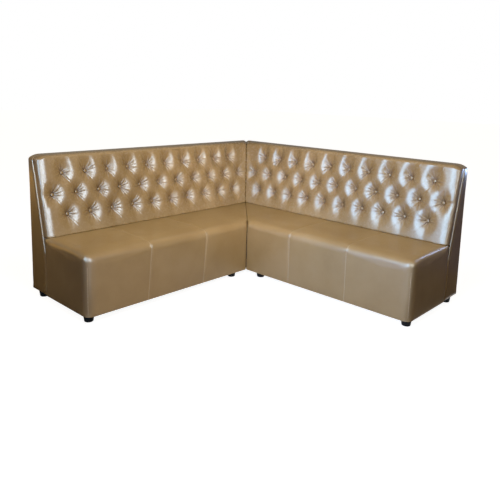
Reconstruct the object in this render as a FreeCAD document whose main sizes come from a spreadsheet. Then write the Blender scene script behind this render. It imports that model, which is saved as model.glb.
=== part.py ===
"""Corner sofa: two mirrored upholstered modules that meet at a 45 degree mitre.

Millimetres, +Z up, origin on the floor under the middle of the sofa's box.
Pieces of the left module are drawn with X along the wing from the rear corner,
Y forward from the rear plane and Z up from the floor, and are then turned into place.
The right module is the left one mirrored in the mitre plane.
"""
import FreeCAD, Part
import math
import os
import re
import Sketcher
from FreeCAD import Placement, Rotation, Vector

SIZES = {
    # Overall form
    "wing_length": 2150,
    "unit_depth": 735,
    "overall_height": 1000,
    "seat_height": 455,
    "mitre_gap": 2,
    # Back unit
    "back_base_depth": 215,
    "slant_start": 335,
    "back_lean": 12.8,
    "rail_height": 70,
    "tie_board": 6,
    # Dips of the back's top towards the outer end and towards the mitre
    "end_dip_run": 65,
    "end_dip": 20,
    "mitre_dip_run": 40,
    "mitre_dip": 14,
    # Boards and skins
    "panel": 18,
    "deck": 12,
    "cover": 2,
    "padding": 12,
    "lining": 1.5,
    # Seat upholstery
    "seat_foam": 80,
    "seat_front_radius": 40,
    "seat_end_radius": 28,
    "seat_front_drop": 10,
    "seat_front_slope": 4.5,
    "outer_strip": 490,
    "middle_strip": 495,
    "seam_width": 3,
    "seam_depth": 1.2,
    "vent_diameter": 40,
    "vent_count": 5,
    # Buttoned back pad
    "pad_depth": 52,
    "pad_wall": 10,
    "pad_edge_radius": 16,
    "pad_seat_gap": 1.5,
    "back_foam": 24,
    "tuft_depth": 19,
    "crown_flat": 0.5,
    "buttons_per_row": 11,
    "button_row_height": 725,
    "button_row_spacing": 143,
    "button_diameter": 22,
    "button_rise": 8,
    "button_dome": 5,
    "button_floor": 28,
    "button_clearance": 0.5,
    "dimple_radius": 36,
    "tie_diameter": 3,
    "tie_clearance": 1,
    "tie_washer": 20,
    "washer_thickness": 2,
    # Cheek cover
    "cheek_gap": 2,
    "cheek_edge_radius": 9,
    "bead_width": 24,
    "bead_groove": 3,
    # Feet
    "foot_height": 50,
    "foot_top_diameter": 72,
    "foot_bottom_diameter": 58,
    "foot_chamfer": 3,
    "foot_clearance": 1,
    "foot_end_inset": 52,
    "foot_front_inset": 72,
    "foot_rear_inset": 70,
    "foot_mitre_inset": 95,
    "stud_diameter": 8,
    "stud_length": 30,
    "stud_clearance": 0.2,
    "block_side": 70,
    "block_height": 45,
    # Bolts between seat unit and back unit
    "bolt_diameter": 8,
    "bolt_clearance": 0.2,
    "bolt_width_across_flats": 13,
    "bolt_head": 5.5,
    "bolt_overhang": 3,
    "bolt_drop": 60,
    "bolt_rise": 100,
    # Locating pins between the modules
    "pin_diameter": 10,
    "pin_reach": 30,
    "pin_taper": 4,
    "pin_clearance": 0.3,
    "shank_diameter": 16,
    "shank_clearance": 0.2,
    "flange_diameter": 26,
    "flange_thickness": 4,
    "pin_height": 230,
    "pin_inset": 110,
}

BACK_RIBS = 3
BOLT_COLUMNS = 3
OVERRUN = 5

doc = FreeCAD.newDocument("corner_sofa")
sizes = doc.addObject("Spreadsheet::Sheet", "Sizes")
for row, (alias, number) in enumerate(SIZES.items(), start=1):
    sizes.set(f"A{row}", alias)
    sizes.set(f"B{row}", str(number))
    sizes.setAlias(f"B{row}", alias)
doc.recompute()

# Levels and faces shared by the pieces
BASE = "(foot_height + lining)"
FRONT = "(unit_depth - cover - padding)"
END = "(wing_length - cover - padding)"
DECK_TOP = "(seat_height - cover - seat_foam)"
PANEL_TOP = "(seat_height - cover - seat_foam - deck)"
BACK_TOP = "(overall_height - cover)"
RAIL_UNDER = "(overall_height - cover - panel)"
BACK_FRONT = "(back_base_depth - panel)"
PAD_BOTTOM = "(seat_height + pad_seat_gap)"
# Distances along the wing from the mitre line to the mitre faces
MITRE_FACE = "(mitre_gap / sqrt(2))"
MITRE_FRAME = "((mitre_gap / 2 + lining) * sqrt(2))"
MITRE_INSIDE = "((mitre_gap / 2 + lining + panel) * sqrt(2))"


def sized(text):
    """The expression with each size named as a cell of the sheet."""
    return re.sub(r"[a-z_]+", lambda word: "Sizes." + word[0] if word[0] in SIZES else word[0], text)


def value(text):
    """The number that an expression of sizes comes to."""
    return float(sizes.evalExpression(text))


def drive(obj, prop, text):
    obj.setExpression(prop, sized(text))


def slope(height, out="0"):
    """Depth of the slanted back at a height, moved out along its normal."""
    return f"(back_base_depth - ({height} - slant_start) * tan(back_lean) + ({out}) / cos(back_lean))"


PAD_START = slope("button_row_height", "pad_depth")
PITCH = f"((wing_length - {PAD_START}) / buttons_per_row)"


# Sketched pieces

def origin_feature(body, role):
    return next(feature for feature in body.Origin.OriginFeatures if feature.Role == role)


def outline(body, role, name, corners):
    """A closed sketch of straight lines whose corners are held by expressions."""
    sketch = body.newObject("Sketcher::SketchObject", name)
    sketch.AttachmentSupport = [(origin_feature(body, role), "")]
    sketch.MapMode = "FlatFace"
    points = [Vector(value(across), value(up), 0) for across, up in corners]
    for index, point in enumerate(points):
        following = points[(index + 1) % len(points)]
        sketch.addGeometry(Part.LineSegment(point, following), False)
    for index in range(len(points)):
        sketch.addConstraint(Sketcher.Constraint("Coincident", index, 2, (index + 1) % len(points), 1))
    for index, corner in enumerate(corners):
        for kind, axis, text in zip(("DistanceX", "DistanceY"), (-2, -1), corner):
            if text == "0":
                sketch.addConstraint(Sketcher.Constraint("PointOnObject", index, 1, axis))
                continue
            held = sketch.addConstraint(Sketcher.Constraint(kind, -1, 1, index, 1, value(text)))
            drive(sketch, f"Constraints[{held}]", text)
    return sketch


def padded_body(name, role, corners, start, length):
    body = doc.addObject("PartDesign::Body", name)
    sketch = outline(body, role, name + "_sketch", corners)
    drive(sketch, "AttachmentOffset.Base.z", start)
    pad = body.newObject("PartDesign::Pad", name + "_pad")
    pad.Profile = sketch
    drive(pad, "Length", length)
    return body


def plan_body(name, corners, bottom, top):
    """A board drawn in plan and raised between two heights."""
    return padded_body(name, "XY_Plane", corners, bottom, f"({top}) - ({bottom})")


def profile_body(name, corners, start, end):
    """A board drawn as a depth and height profile and run along the wing."""
    return padded_body(name, "YZ_Plane", corners, start, f"({end}) - ({start})")


def turned_body(name, corners):
    """A piece turned about its own Z axis from a half profile."""
    body = doc.addObject("PartDesign::Body", name)
    sketch = outline(body, "XZ_Plane", name + "_sketch", corners)
    turn = body.newObject("PartDesign::Revolution", name + "_turn")
    turn.Profile = sketch
    turn.ReferenceAxis = (sketch, ["V_Axis"])
    turn.Angle = 360
    return body


def mitred_plan(rear, front, mitre, end):
    """Plan corners of a strip along the wing whose inner end follows the mitre."""
    return [
        (f"{rear} + {mitre}", rear),
        (end, rear),
        (end, front),
        (f"{front} + {mitre}", front),
    ]


def mitre_strip(rear, front, outer, inner):
    """Plan corners of a strip that lies along the mitre."""
    return [
        (f"{rear} + {outer}", rear),
        (f"{rear} + {inner}", rear),
        (f"{front} + {inner}", front),
        (f"{front} + {outer}", front),
    ]


def crosswise(middle, rear, front):
    """Plan corners of a board that stands across the wing."""
    return [
        (f"{middle} - panel / 2", rear),
        (f"{middle} + panel / 2", rear),
        (f"{middle} + panel / 2", front),
        (f"{middle} - panel / 2", front),
    ]


def combined(kind, name, base, tool):
    result = doc.addObject(kind, name)
    result.Base = base
    result.Tool = tool
    return result


def group(name, members):
    result = doc.addObject("Part::Compound", name)
    result.Links = members
    return result


def shaped(name, shape):
    feature = doc.addObject("Part::Feature", name)
    feature.Shape = shape
    return feature


def extruded(corners, along):
    """A solid from corner points run along a vector."""
    wire = Part.makePolygon(corners + corners[:1])
    return Part.Face(wire).extrude(along)


def dip_waste(lower):
    """What is cut from the top of the back at its two dips, lowered by a thickness."""
    top = value(f"overall_height - {lower}")
    deep = value("unit_depth")
    dips = []
    for edge, run, fall, along in (
            (value("wing_length"), value("end_dip_run"), value("end_dip"), Vector(0, deep, 0)),
            (-OVERRUN, -value("mitre_dip_run"), value("mitre_dip"), Vector(deep, deep, 0))):
        above = top + fall
        below = top - 2 * fall
        corners = [(edge - run, top), (edge + run, below), (edge + run, above), (edge - run, above)]
        dips.append(extruded([Vector(across, -OVERRUN, height) for across, height in corners], along))
    return Part.makeCompound(dips)


left_nodes = {}


def left(name, piece):
    """Register a piece of the left module and turn it into the sofa's frame."""
    piece.Label = "left_" + name
    piece.Placement = Placement(Vector(0, 0, 0), Rotation(Vector(0, 0, 1), -90))
    drive(piece, "Placement.Base.x", "-wing_length / 2")
    drive(piece, "Placement.Base.y", "wing_length / 2")
    left_nodes[name] = piece


# Locating holes through the mitre boards
mitre_axis = Rotation(Vector(0, 0, 1), Vector(1, -1, 0))
PIN_PLACES = ["(back_base_depth + panel + pin_inset)", f"({FRONT} - panel - pin_inset)"]


def at_mitre(piece, place, back_off="0"):
    """Stand a turned piece across the mitre plane, its axis into the left module."""
    piece.Placement = Placement(Vector(0, 0, 0), mitre_axis)
    drive(piece, "Placement.Base.x", f"{place} - {back_off} / sqrt(2)")
    drive(piece, "Placement.Base.y", f"{place} + {back_off} / sqrt(2)")
    drive(piece, "Placement.Base.z", "pin_height")


pin_holes = []
for place in PIN_PLACES:
    hole = doc.addObject("Part::Cylinder", "pin_hole")
    drive(hole, "Radius", "shank_diameter / 2 + shank_clearance")
    drive(hole, "Height", "mitre_gap + lining + 2 * panel")
    at_mitre(hole, place)
    pin_holes.append(hole)
pin_hole_tool = group("pin_hole_tool", pin_holes)

# Bolt holes between seat unit and back unit
BOLT_PLACES = [f"(wing_length * {2 * column + 3} / 8)" for column in range(BOLT_COLUMNS)]
BOLT_HEIGHTS = [f"({BASE} + bolt_rise)", "(slant_start - bolt_drop)"]

bolt_holes = []
for place in BOLT_PLACES:
    for height in BOLT_HEIGHTS:
        hole = doc.addObject("Part::Cylinder", "bolt_hole")
        drive(hole, "Radius", "bolt_diameter / 2 + bolt_clearance")
        drive(hole, "Height", "4 * panel")
        hole.Placement = Placement(Vector(0, 0, 0), Rotation(Vector(1, 0, 0), -90))
        drive(hole, "Placement.Base.x", place)
        drive(hole, "Placement.Base.y", "back_base_depth - 2 * panel")
        drive(hole, "Placement.Base.z", height)
        bolt_holes.append(hole)
bolt_hole_tool = group("bolt_hole_tool", bolt_holes)

# Seat box
SEAT_BACK = "back_base_depth"
BOX_REAR = "(back_base_depth + panel)"
BOX_FRONT = f"({FRONT} - panel)"
SEAMS = ["(wing_length - outer_strip)", "(wing_length - outer_strip - middle_strip)"]

left("seat_front_panel", plan_body(
    "seat_front_panel", mitred_plan(BOX_FRONT, FRONT, MITRE_FRAME, END), BASE, PANEL_TOP))
seat_rear = plan_body(
    "seat_rear_board", mitred_plan(SEAT_BACK, BOX_REAR, MITRE_FRAME, END), BASE, PANEL_TOP)
left("seat_rear_panel", combined("Part::Cut", "seat_rear_panel", seat_rear, bolt_hole_tool))
left("seat_end_panel", plan_body(
    "seat_end_panel", crosswise(f"({END} - panel / 2)", BOX_REAR, BOX_FRONT), BASE, PANEL_TOP))
seat_mitre = plan_body(
    "seat_mitre_board", mitre_strip(BOX_REAR, BOX_FRONT, MITRE_FRAME, MITRE_INSIDE), BASE, PANEL_TOP)
left("seat_mitre_panel", combined("Part::Cut", "seat_mitre_panel", seat_mitre, pin_hole_tool))
left("seat_ribs", group("seat_ribs", [
    plan_body("seat_rib", crosswise(seam, BOX_REAR, BOX_FRONT), BASE, PANEL_TOP) for seam in SEAMS]))


def vented_deck():
    """The board under the foam, with a row of vent holes along it."""
    body = plan_body("seat_deck", mitred_plan(SEAT_BACK, FRONT, MITRE_FRAME, END), PANEL_TOP, DECK_TOP)
    sketch = body.newObject("Sketcher::SketchObject", "vent_sketch")
    sketch.AttachmentSupport = [(origin_feature(body, "XY_Plane"), "")]
    sketch.MapMode = "FlatFace"
    drive(sketch, "AttachmentOffset.Base.z", DECK_TOP)
    first = "(wing_length - outer_strip / 2)"
    middle = f"((back_base_depth + {FRONT}) / 2)"
    centre = Vector(value(first), value(middle), 0)
    sketch.addGeometry(Part.Circle(centre, Vector(0, 0, 1), value("vent_diameter / 2")), False)
    for kind, text in (("DistanceX", first), ("DistanceY", middle)):
        held = sketch.addConstraint(Sketcher.Constraint(kind, -1, 1, 0, 3, value(text)))
        drive(sketch, f"Constraints[{held}]", text)
    held = sketch.addConstraint(Sketcher.Constraint("Radius", 0, value("vent_diameter / 2")))
    drive(sketch, f"Constraints[{held}]", "vent_diameter / 2")
    vent = body.newObject("PartDesign::Pocket", "vent")
    vent.Profile = sketch
    drive(vent, "Length", "deck")
    vents = body.newObject("PartDesign::LinearPattern", "vents")
    vents.Originals = [vent]
    vents.Direction = (origin_feature(body, "X_Axis"), [""])
    vents.Reversed = True
    drive(vents, "Length", "wing_length - outer_strip - unit_depth")
    drive(vents, "Occurrences", "vent_count")
    body.Tip = vents
    return body


left("seat_deck", vented_deck())


# Seat upholstery

def plan_prism(corners, bottom, top):
    points = [Vector(value(across), value(deep), value(bottom)) for across, deep in corners]
    return extruded(points, Vector(0, 0, value(top) - value(bottom)))


def seat_form(inset, overrun):
    """The seat's crowned outer form, drawn in by an inset and run past its open sides."""
    lean = math.radians(value("seat_front_slope"))
    radius = value("seat_front_radius")
    rear = value("back_base_depth")
    top = value("seat_height")
    # Corner arc at the front edge, tangent to the front face
    corner_y = value("unit_depth") - radius
    corner_z = top - value("seat_front_drop") - radius * math.cos(lean)
    # Crown arc through the rear edge, tangent to the corner arc
    meet = Vector(0, corner_y + radius * math.sin(lean), corner_z + radius * math.cos(lean))
    normal = Vector(0, math.sin(lean), math.cos(lean))
    chord = meet - Vector(0, rear, top)
    crown = chord.dot(chord) / (2 * chord.dot(normal))
    centre = meet - normal * crown

    def crown_point(deep):
        return Vector(0, deep, centre.z + math.sqrt((crown - inset) ** 2 - (deep - centre.y) ** 2))

    rear -= overrun
    bottom = value("foot_height") - overrun
    edge = radius - inset
    front = corner_y + edge
    halfway = lean + (math.pi / 2 - lean) / 2
    crown_end = meet - normal * inset
    corner_middle = Vector(0, corner_y + edge * math.sin(halfway), corner_z + edge * math.cos(halfway))
    front_top = Vector(0, front, corner_z)
    front_bottom = Vector(0, front, bottom)
    rear_bottom = Vector(0, rear, bottom)
    rear_top = crown_point(rear)
    edges = [
        Part.LineSegment(rear_bottom, rear_top),
        Part.Arc(rear_top, crown_point((rear + crown_end.y) / 2), crown_end),
        Part.Arc(crown_end, corner_middle, front_top),
        Part.LineSegment(front_top, front_bottom),
        Part.LineSegment(front_bottom, rear_bottom),
    ]
    end = value("wing_length") - inset
    face = Part.Face(Part.Wire([edge.toShape() for edge in edges]))
    form = face.extrude(Vector(end, 0, 0))
    rounded = [
        edge for edge in form.Edges
        if all(abs(vertex.X - end) < 0.01 for vertex in edge.Vertexes)
        and edge.CenterOfMass.y > rear + 0.01
        and edge.CenterOfMass.z > bottom + 0.01
    ]
    form = form.makeFillet(value("seat_end_radius") - inset, rounded)
    mitre = value(MITRE_FACE) - overrun
    deep = value("unit_depth")
    waste = extruded(
        [Vector(-OVERRUN, -OVERRUN - mitre, -OVERRUN), Vector(deep + mitre, deep, -OVERRUN),
         Vector(-OVERRUN, deep, -OVERRUN)],
        Vector(0, 0, value("overall_height")))
    return form.cut(waste)


def seat_cover_shape():
    cover = seat_form(0, 0).cut(seat_form(value("cover"), OVERRUN))
    seam_core = seat_form(value("seam_depth"), OVERRUN)
    width = value("seam_width")
    for seam in SEAMS:
        slab = Part.makeBox(width, value("unit_depth"), value("overall_height"),
                            Vector(value(seam) - width / 2, OVERRUN, 0))
        cover = cover.cut(slab.cut(seam_core))
    return cover


def seat_foam_shape():
    box = plan_prism(
        mitred_plan(f"(back_base_depth - {OVERRUN})", FRONT, "0", END), "0", DECK_TOP)
    return seat_form(value("cover"), 0).cut(box)


left("seat_cover", shaped("seat_cover", seat_cover_shape()))
left("seat_foam", shaped("seat_foam", seat_foam_shape()))

# Back frame
BOARD_BACK = "(-tie_board)"


def frame_profile(rear):
    """Depth and height profile of a cheek or rib behind the tie board."""
    return [
        (rear, BASE),
        (BACK_FRONT, BASE),
        (BACK_FRONT, "slant_start"),
        (slope("slant_start", BOARD_BACK), "slant_start"),
        (slope(RAIL_UNDER, BOARD_BACK), RAIL_UNDER),
        (rear, RAIL_UNDER),
    ]


RAIL_FRONT = "(cover + panel)"
frame_waste = shaped("frame_waste", dip_waste("cover"))


def dipped(name, piece):
    """A piece of the frame, cut where the top of the back dips."""
    return combined("Part::Cut", name, piece, frame_waste)


left("back_outer_cheek", dipped("back_outer_cheek", profile_body(
    "outer_cheek_board", frame_profile("cover"), f"({END} - panel)", END)))
mitre_cheek = plan_body(
    "mitre_cheek_board", mitre_strip("cover", SEAT_BACK, MITRE_FRAME, MITRE_INSIDE), BASE, RAIL_UNDER)
mitre_cheek_form = profile_body("mitre_cheek_form", frame_profile("cover"), "lining", "unit_depth")
left("back_mitre_cheek", dipped("back_mitre_cheek", combined(
    "Part::Common", "mitre_cheek_blank", mitre_cheek, mitre_cheek_form)))

back_ribs = []
for rib in range(BACK_RIBS):
    middle = f"({PAD_START} + {PITCH} * {3 * rib + 2.25})"
    back_ribs.append(profile_body(
        "back_rib", frame_profile(RAIL_FRONT), f"({middle} - panel / 2)", f"({middle} + panel / 2)"))
left("back_ribs", group("back_ribs", back_ribs))

back_front = plan_body(
    "back_front_board", mitred_plan(BACK_FRONT, SEAT_BACK, MITRE_FRAME, END), BASE, "slant_start")
left("back_front_panel", combined("Part::Cut", "back_front_panel", back_front, bolt_hole_tool))

rear_strip = mitred_plan("cover", RAIL_FRONT, MITRE_INSIDE, f"({END} - panel)")
top_strip = mitred_plan("cover", slope(BACK_TOP, BOARD_BACK), MITRE_FRAME, END)
left("back_rails", group("back_rails", [
    plan_body("bottom_rail", rear_strip, BASE, f"({BASE} + rail_height)"),
    plan_body("middle_rail", rear_strip, "slant_start", "(slant_start + rail_height)"),
    dipped("top_rail", plan_body("top_rail_board", top_strip, RAIL_UNDER, BACK_TOP)),
]))


# Buttoned back
lean = math.radians(value("back_lean"))
row_depth = value(slope("button_row_height"))
row_height = value("button_row_height")
pitch = value(PITCH)
spacing = value("button_row_spacing")
first_button = value(PAD_START) + pitch / 2
outward = Vector(0, math.cos(lean), math.sin(lean))


def on_back(along, up, out):
    """A point on the slanted back: along the wing, up the slope, out along its normal."""
    deep = row_depth - up * math.sin(lean) + out * math.cos(lean)
    return Vector(along, deep, row_height + up * math.cos(lean) + out * math.sin(lean))


def button_places():
    """The staggered rows: a full middle row and one button fewer above and below."""
    count = int(value("buttons_per_row"))
    places = [(first_button + pitch * index, 0) for index in range(count)]
    for side in (-1, 1):
        places += [(first_button + pitch * (index + 0.5), side * spacing) for index in range(count - 1)]
    return places


def rods(radius, start, end):
    """A rod at each button, between two distances out from the back."""
    return Part.makeCompound([
        Part.makeCylinder(radius, end - start, on_back(along, up, start), outward)
        for along, up in button_places()])


tie_radius = value("tie_diameter / 2")
tie_hole = tie_radius + value("tie_clearance")
tie_holes = rods(tie_hole, -OVERRUN - value("tie_board"), value("pad_depth"))


def back_slab(inner, outer, bottom, top, mitre, end):
    """A slab along the slanted back between two distances out, with a mitred end."""
    low, high = value(bottom), value(top)
    corners = [(slope(bottom, inner), low), (slope(bottom, outer), low),
               (slope(top, outer), high), (slope(top, inner), high)]
    slab = extruded([Vector(0, value(deep), height) for deep, height in corners],
                    Vector(value(end), 0, 0))
    deep = value("unit_depth")
    waste = extruded(
        [Vector(-OVERRUN, -OVERRUN - value(mitre), 0), Vector(deep + value(mitre), deep, 0),
         Vector(-OVERRUN, deep, 0)],
        Vector(0, 0, value("overall_height") + OVERRUN))
    return slab.cut(waste)


def tuft_prism(side):
    """A scalloped block whose valleys run along one diagonal of the buttons."""
    step = math.hypot(pitch / 2, spacing)
    along = (side * pitch / 2 / step, spacing / step)
    across = (along[1], -along[0])
    width = pitch * spacing / step
    crown = value("pad_depth + crown_flat")
    valley = value("pad_depth - tuft_depth")
    low = value(f"({PAD_BOTTOM} - button_row_height) / cos(back_lean)") - value("pad_depth")
    high = value("(overall_height - button_row_height) / cos(back_lean)") + value("pad_depth")
    corners = [(place - first_button, up) for place in (0, value("wing_length")) for up in (low, high)]
    reach = max(abs(place * along[0] + up * along[1]) for place, up in corners) + OVERRUN
    spread = [place * across[0] + up * across[1] for place, up in corners]
    first = math.floor(min(spread) / width)
    last = math.ceil(max(spread) / width)

    def corner(line, out):
        offset = line * width
        return on_back(first_button + offset * across[0] - reach * along[0],
                       offset * across[1] - reach * along[1], out)

    edges = [Part.Arc(corner(line, valley), corner(line + 0.5, crown), corner(line + 1, valley))
             for line in range(first, last)]
    edges += [Part.LineSegment(corner(last, valley), corner(last, -OVERRUN)),
              Part.LineSegment(corner(last, -OVERRUN), corner(first, -OVERRUN)),
              Part.LineSegment(corner(first, -OVERRUN), corner(first, valley))]
    face = Part.Face(Part.Wire([edge.toShape() for edge in edges]))
    run = on_back(along[0], along[1], 0) - on_back(0, 0, 0)
    return face.extrude(run * 2 * reach)


def dimples():
    """The hollow round each button: a flat seat and a flare."""
    floor = value("button_floor")
    seat = value("button_diameter / 2 + button_clearance")
    depth = value("pad_depth") - floor
    return Part.makeCompound([
        Part.makeCone(seat, value("dimple_radius"), depth, on_back(along, up, floor), outward)
        for along, up in button_places()])


def back_foam_shape():
    end = "(wing_length - pad_wall)"
    mitre = f"({MITRE_FACE} + pad_wall * sqrt(2))"
    slab = back_slab("0", "back_foam", f"({PAD_BOTTOM} + pad_wall)", f"({BACK_TOP} - pad_wall)", mitre, end)
    return slab.cut(dip_waste("pad_wall"))


def tufted_pad_shape():
    block = back_slab("0", "pad_depth", PAD_BOTTOM, "overall_height", MITRE_FACE, "wing_length")
    depth = value("pad_depth")
    middle = on_back(value("wing_length") / 2, 0, depth)
    front = [edge for edge in block.Edges
             if all(abs((vertex.Point - middle).dot(outward)) < 0.01 for vertex in edge.Vertexes)
             and edge.CenterOfMass.z > value(PAD_BOTTOM) + 0.01]
    block = block.makeFillet(value("pad_edge_radius"), front)
    pad = block.common(tuft_prism(1)).common(tuft_prism(-1))
    pad = pad.cut(dimples()).cut(dip_waste("0"))
    return pad.cut(foam_block).cut(tie_holes)


def button_shape(along, up):
    """One covered button: a short disc under a low dome."""
    radius = value("button_diameter / 2")
    rise = value("button_rise")
    dome = value("button_dome")
    ball = (radius ** 2 + dome ** 2) / (2 * dome)
    floor = value("button_floor")
    disc = Part.makeCylinder(radius, rise, on_back(along, up, floor), outward)
    return disc.common(Part.makeSphere(ball, on_back(along, up, floor + rise - ball)))


def tie_shape(along, up):
    """One twine, knotted to a washer behind the tie board."""
    back = -value("tie_board")
    thickness = value("washer_thickness")
    twine = Part.makeCylinder(tie_radius, value("button_floor") - back, on_back(along, up, back), outward)
    washer = Part.makeCylinder(
        value("tie_washer / 2"), thickness, on_back(along, up, back - thickness), outward)
    return twine.fuse(washer).removeSplitter()


board_profile = [
    (slope("slant_start", BOARD_BACK), "slant_start"),
    (slope("slant_start"), "slant_start"),
    (slope(BACK_TOP), BACK_TOP),
    (slope(BACK_TOP, BOARD_BACK), BACK_TOP),
]
board = combined(
    "Part::Common", "tie_board_blank",
    profile_body("tie_board_form", board_profile, "lining", END),
    plan_body("tie_board_plan", mitred_plan("cover", SEAT_BACK, MITRE_FRAME, END), BASE, BACK_TOP))
left("back_board", combined(
    "Part::Cut", "back_board", dipped("tie_board_dipped", board), shaped("tie_hole_tool", tie_holes)))

foam_block = back_foam_shape()
left("back_foam", shaped("back_foam", foam_block.cut(tie_holes)))
left("tufted_pad", shaped("tufted_pad", tufted_pad_shape()))
for name, shape in (("buttons", button_shape), ("button_ties", tie_shape)):
    left(name, shaped(name, Part.makeCompound([shape(*place) for place in button_places()])))


# Outer skins

def cheek_cover_shape():
    """The padded end of the back, with a rolled bead along its slanted edge."""
    back_off = "(-cheek_gap)"
    outer = value("wing_length")
    corners = [("0", "foot_height"), ("back_base_depth", "foot_height"), ("back_base_depth", "slant_start"),
               (slope("overall_height", back_off), "overall_height"), ("0", "overall_height")]
    points = [Vector(value(END), value(deep), value(height)) for deep, height in corners]
    plate = extruded(points, Vector(value("cover + padding"), 0, 0))
    rounded = [edge for edge in plate.Edges
               if all(abs(vertex.X - outer) < 0.01 for vertex in edge.Vertexes)
               and edge.CenterOfMass.z > value("foot_height") + 0.01
               and edge.CenterOfMass.y > 0.01]
    plate = plate.makeFillet(value("cheek_edge_radius"), rounded)
    low, high = points[2], points[3]
    slant = (high - low).normalize()
    inward = Vector(0, -slant.z, slant.y)
    start = low + inward * value("bead_width") - slant * value("overall_height")
    start.x = outer
    groove = Part.makeCylinder(value("bead_groove"), 2 * value("overall_height"), start, slant)
    upper = Part.makeBox(value("unit_depth"), value("unit_depth"), value("overall_height"),
                         Vector(value(END), 0, value("slant_start")))
    return plate.cut(groove.common(upper)).cut(dip_waste("0"))


left("cheek_cover", shaped("cheek_cover", cheek_cover_shape()))
# The rear cover follows the dips of the top: its block less the frame that it is pulled over
DIP_UNDER = f"({BACK_TOP} - end_dip - mitre_dip)"
rear_profile = [
    ("0", "foot_height"),
    ("cover", "foot_height"),
    ("cover", DIP_UNDER),
    (slope(DIP_UNDER), DIP_UNDER),
    (slope("overall_height"), "overall_height"),
    ("0", "overall_height"),
]
frame_core = [
    ("cover", f"{DIP_UNDER} - {OVERRUN}"),
    (f"{slope(DIP_UNDER)} + 2 * {OVERRUN}", f"{DIP_UNDER} - {OVERRUN}"),
    (f"{slope(DIP_UNDER)} + 2 * {OVERRUN}", BACK_TOP),
    ("cover", BACK_TOP),
]
rear_blank = combined(
    "Part::Common", "rear_cover_blank",
    profile_body("rear_cover_form", rear_profile, MITRE_FACE, END),
    plan_body("rear_cover_plan", mitred_plan("0", SEAT_BACK, MITRE_FACE, END), "lining", "overall_height"))
left("rear_cover", combined(
    "Part::Cut", "rear_cover",
    combined("Part::Cut", "rear_cover_dipped", rear_blank, shaped("cover_waste", dip_waste("0"))),
    dipped("rear_cover_core", profile_body("frame_core", frame_core, "0", f"({END} + {OVERRUN})"))))

lining_profile = [
    ("cover", BASE),
    (FRONT, BASE),
    (FRONT, DECK_TOP),
    (slope(DECK_TOP), DECK_TOP),
    (slope(BACK_TOP), BACK_TOP),
    ("cover", BACK_TOP),
]
lining_sheet = combined(
    "Part::Common", "mitre_lining_sheet",
    plan_body("mitre_lining_plan", mitre_strip("cover", FRONT, MITRE_FACE, MITRE_FRAME), BASE, BACK_TOP),
    profile_body("mitre_lining_form", lining_profile, "lining", "wing_length"))
left("mitre_lining", combined(
    "Part::Cut", "mitre_lining", dipped("mitre_lining_dipped", lining_sheet), pin_hole_tool))

# Feet, their blocks and the dust cover
OUTER_FOOT = "(wing_length - foot_end_inset)"
FRONT_FOOT = "(unit_depth - foot_front_inset)"
FOOT_PLACES = {
    "front_outer": (OUTER_FOOT, FRONT_FOOT),
    "rear_outer": (OUTER_FOOT, "foot_rear_inset"),
    "front_mitre": ("(unit_depth + foot_mitre_inset)", FRONT_FOOT),
    "rear_mitre": ("(foot_rear_inset + foot_mitre_inset)", "foot_rear_inset"),
}
foot_profile = [
    ("0", "0"),
    ("foot_bottom_diameter / 2 - foot_chamfer", "0"),
    ("foot_bottom_diameter / 2", "foot_chamfer"),
    ("foot_top_diameter / 2", BASE),
    ("stud_diameter / 2", BASE),
    ("stud_diameter / 2", f"{BASE} + stud_length"),
    ("0", f"{BASE} + stud_length"),
]
foot_holes = []
foot_blocks = []
for place, (along, deep) in FOOT_PLACES.items():
    foot = turned_body("foot_" + place, foot_profile)
    drive(foot, "Placement.Base.x", along)
    drive(foot, "Placement.Base.y", deep)
    left("foot_" + place, group("foot_" + place + "_set", [foot]))

    hole = doc.addObject("Part::Cylinder", "foot_hole")
    drive(hole, "Radius", "foot_top_diameter / 2 + foot_clearance")
    drive(hole, "Height", "2 * foot_height")
    drive(hole, "Placement.Base.x", along)
    drive(hole, "Placement.Base.y", deep)
    foot_holes.append(hole)

    block = doc.addObject("Part::Box", "foot_block_blank")
    drive(block, "Length", "block_side")
    drive(block, "Width", "block_side")
    drive(block, "Height", "block_height")
    outer_edge = f"{END} - panel" if along == OUTER_FOOT else f"{along} + block_side / 2"
    rear_edge = f"{BOX_FRONT} - block_side" if deep == FRONT_FOOT else RAIL_FRONT
    drive(block, "Placement.Base.x", f"{outer_edge} - block_side")
    drive(block, "Placement.Base.y", rear_edge)
    drive(block, "Placement.Base.z", BASE)
    stud_hole = doc.addObject("Part::Cylinder", "stud_hole")
    drive(stud_hole, "Radius", "stud_diameter / 2 + stud_clearance")
    drive(stud_hole, "Height", f"{BASE} + block_height")
    drive(stud_hole, "Placement.Base.x", along)
    drive(stud_hole, "Placement.Base.y", deep)
    foot_blocks.append(combined("Part::Cut", "foot_block", block, stud_hole))
left("foot_blocks", group("foot_blocks", foot_blocks))

dust_sheet = plan_body("dust_sheet", mitred_plan("cover", FRONT, MITRE_FACE, END), "foot_height", BASE)
left("dust_cover", combined("Part::Cut", "dust_cover", dust_sheet, group("foot_hole_tool", foot_holes)))


# Bolts

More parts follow.
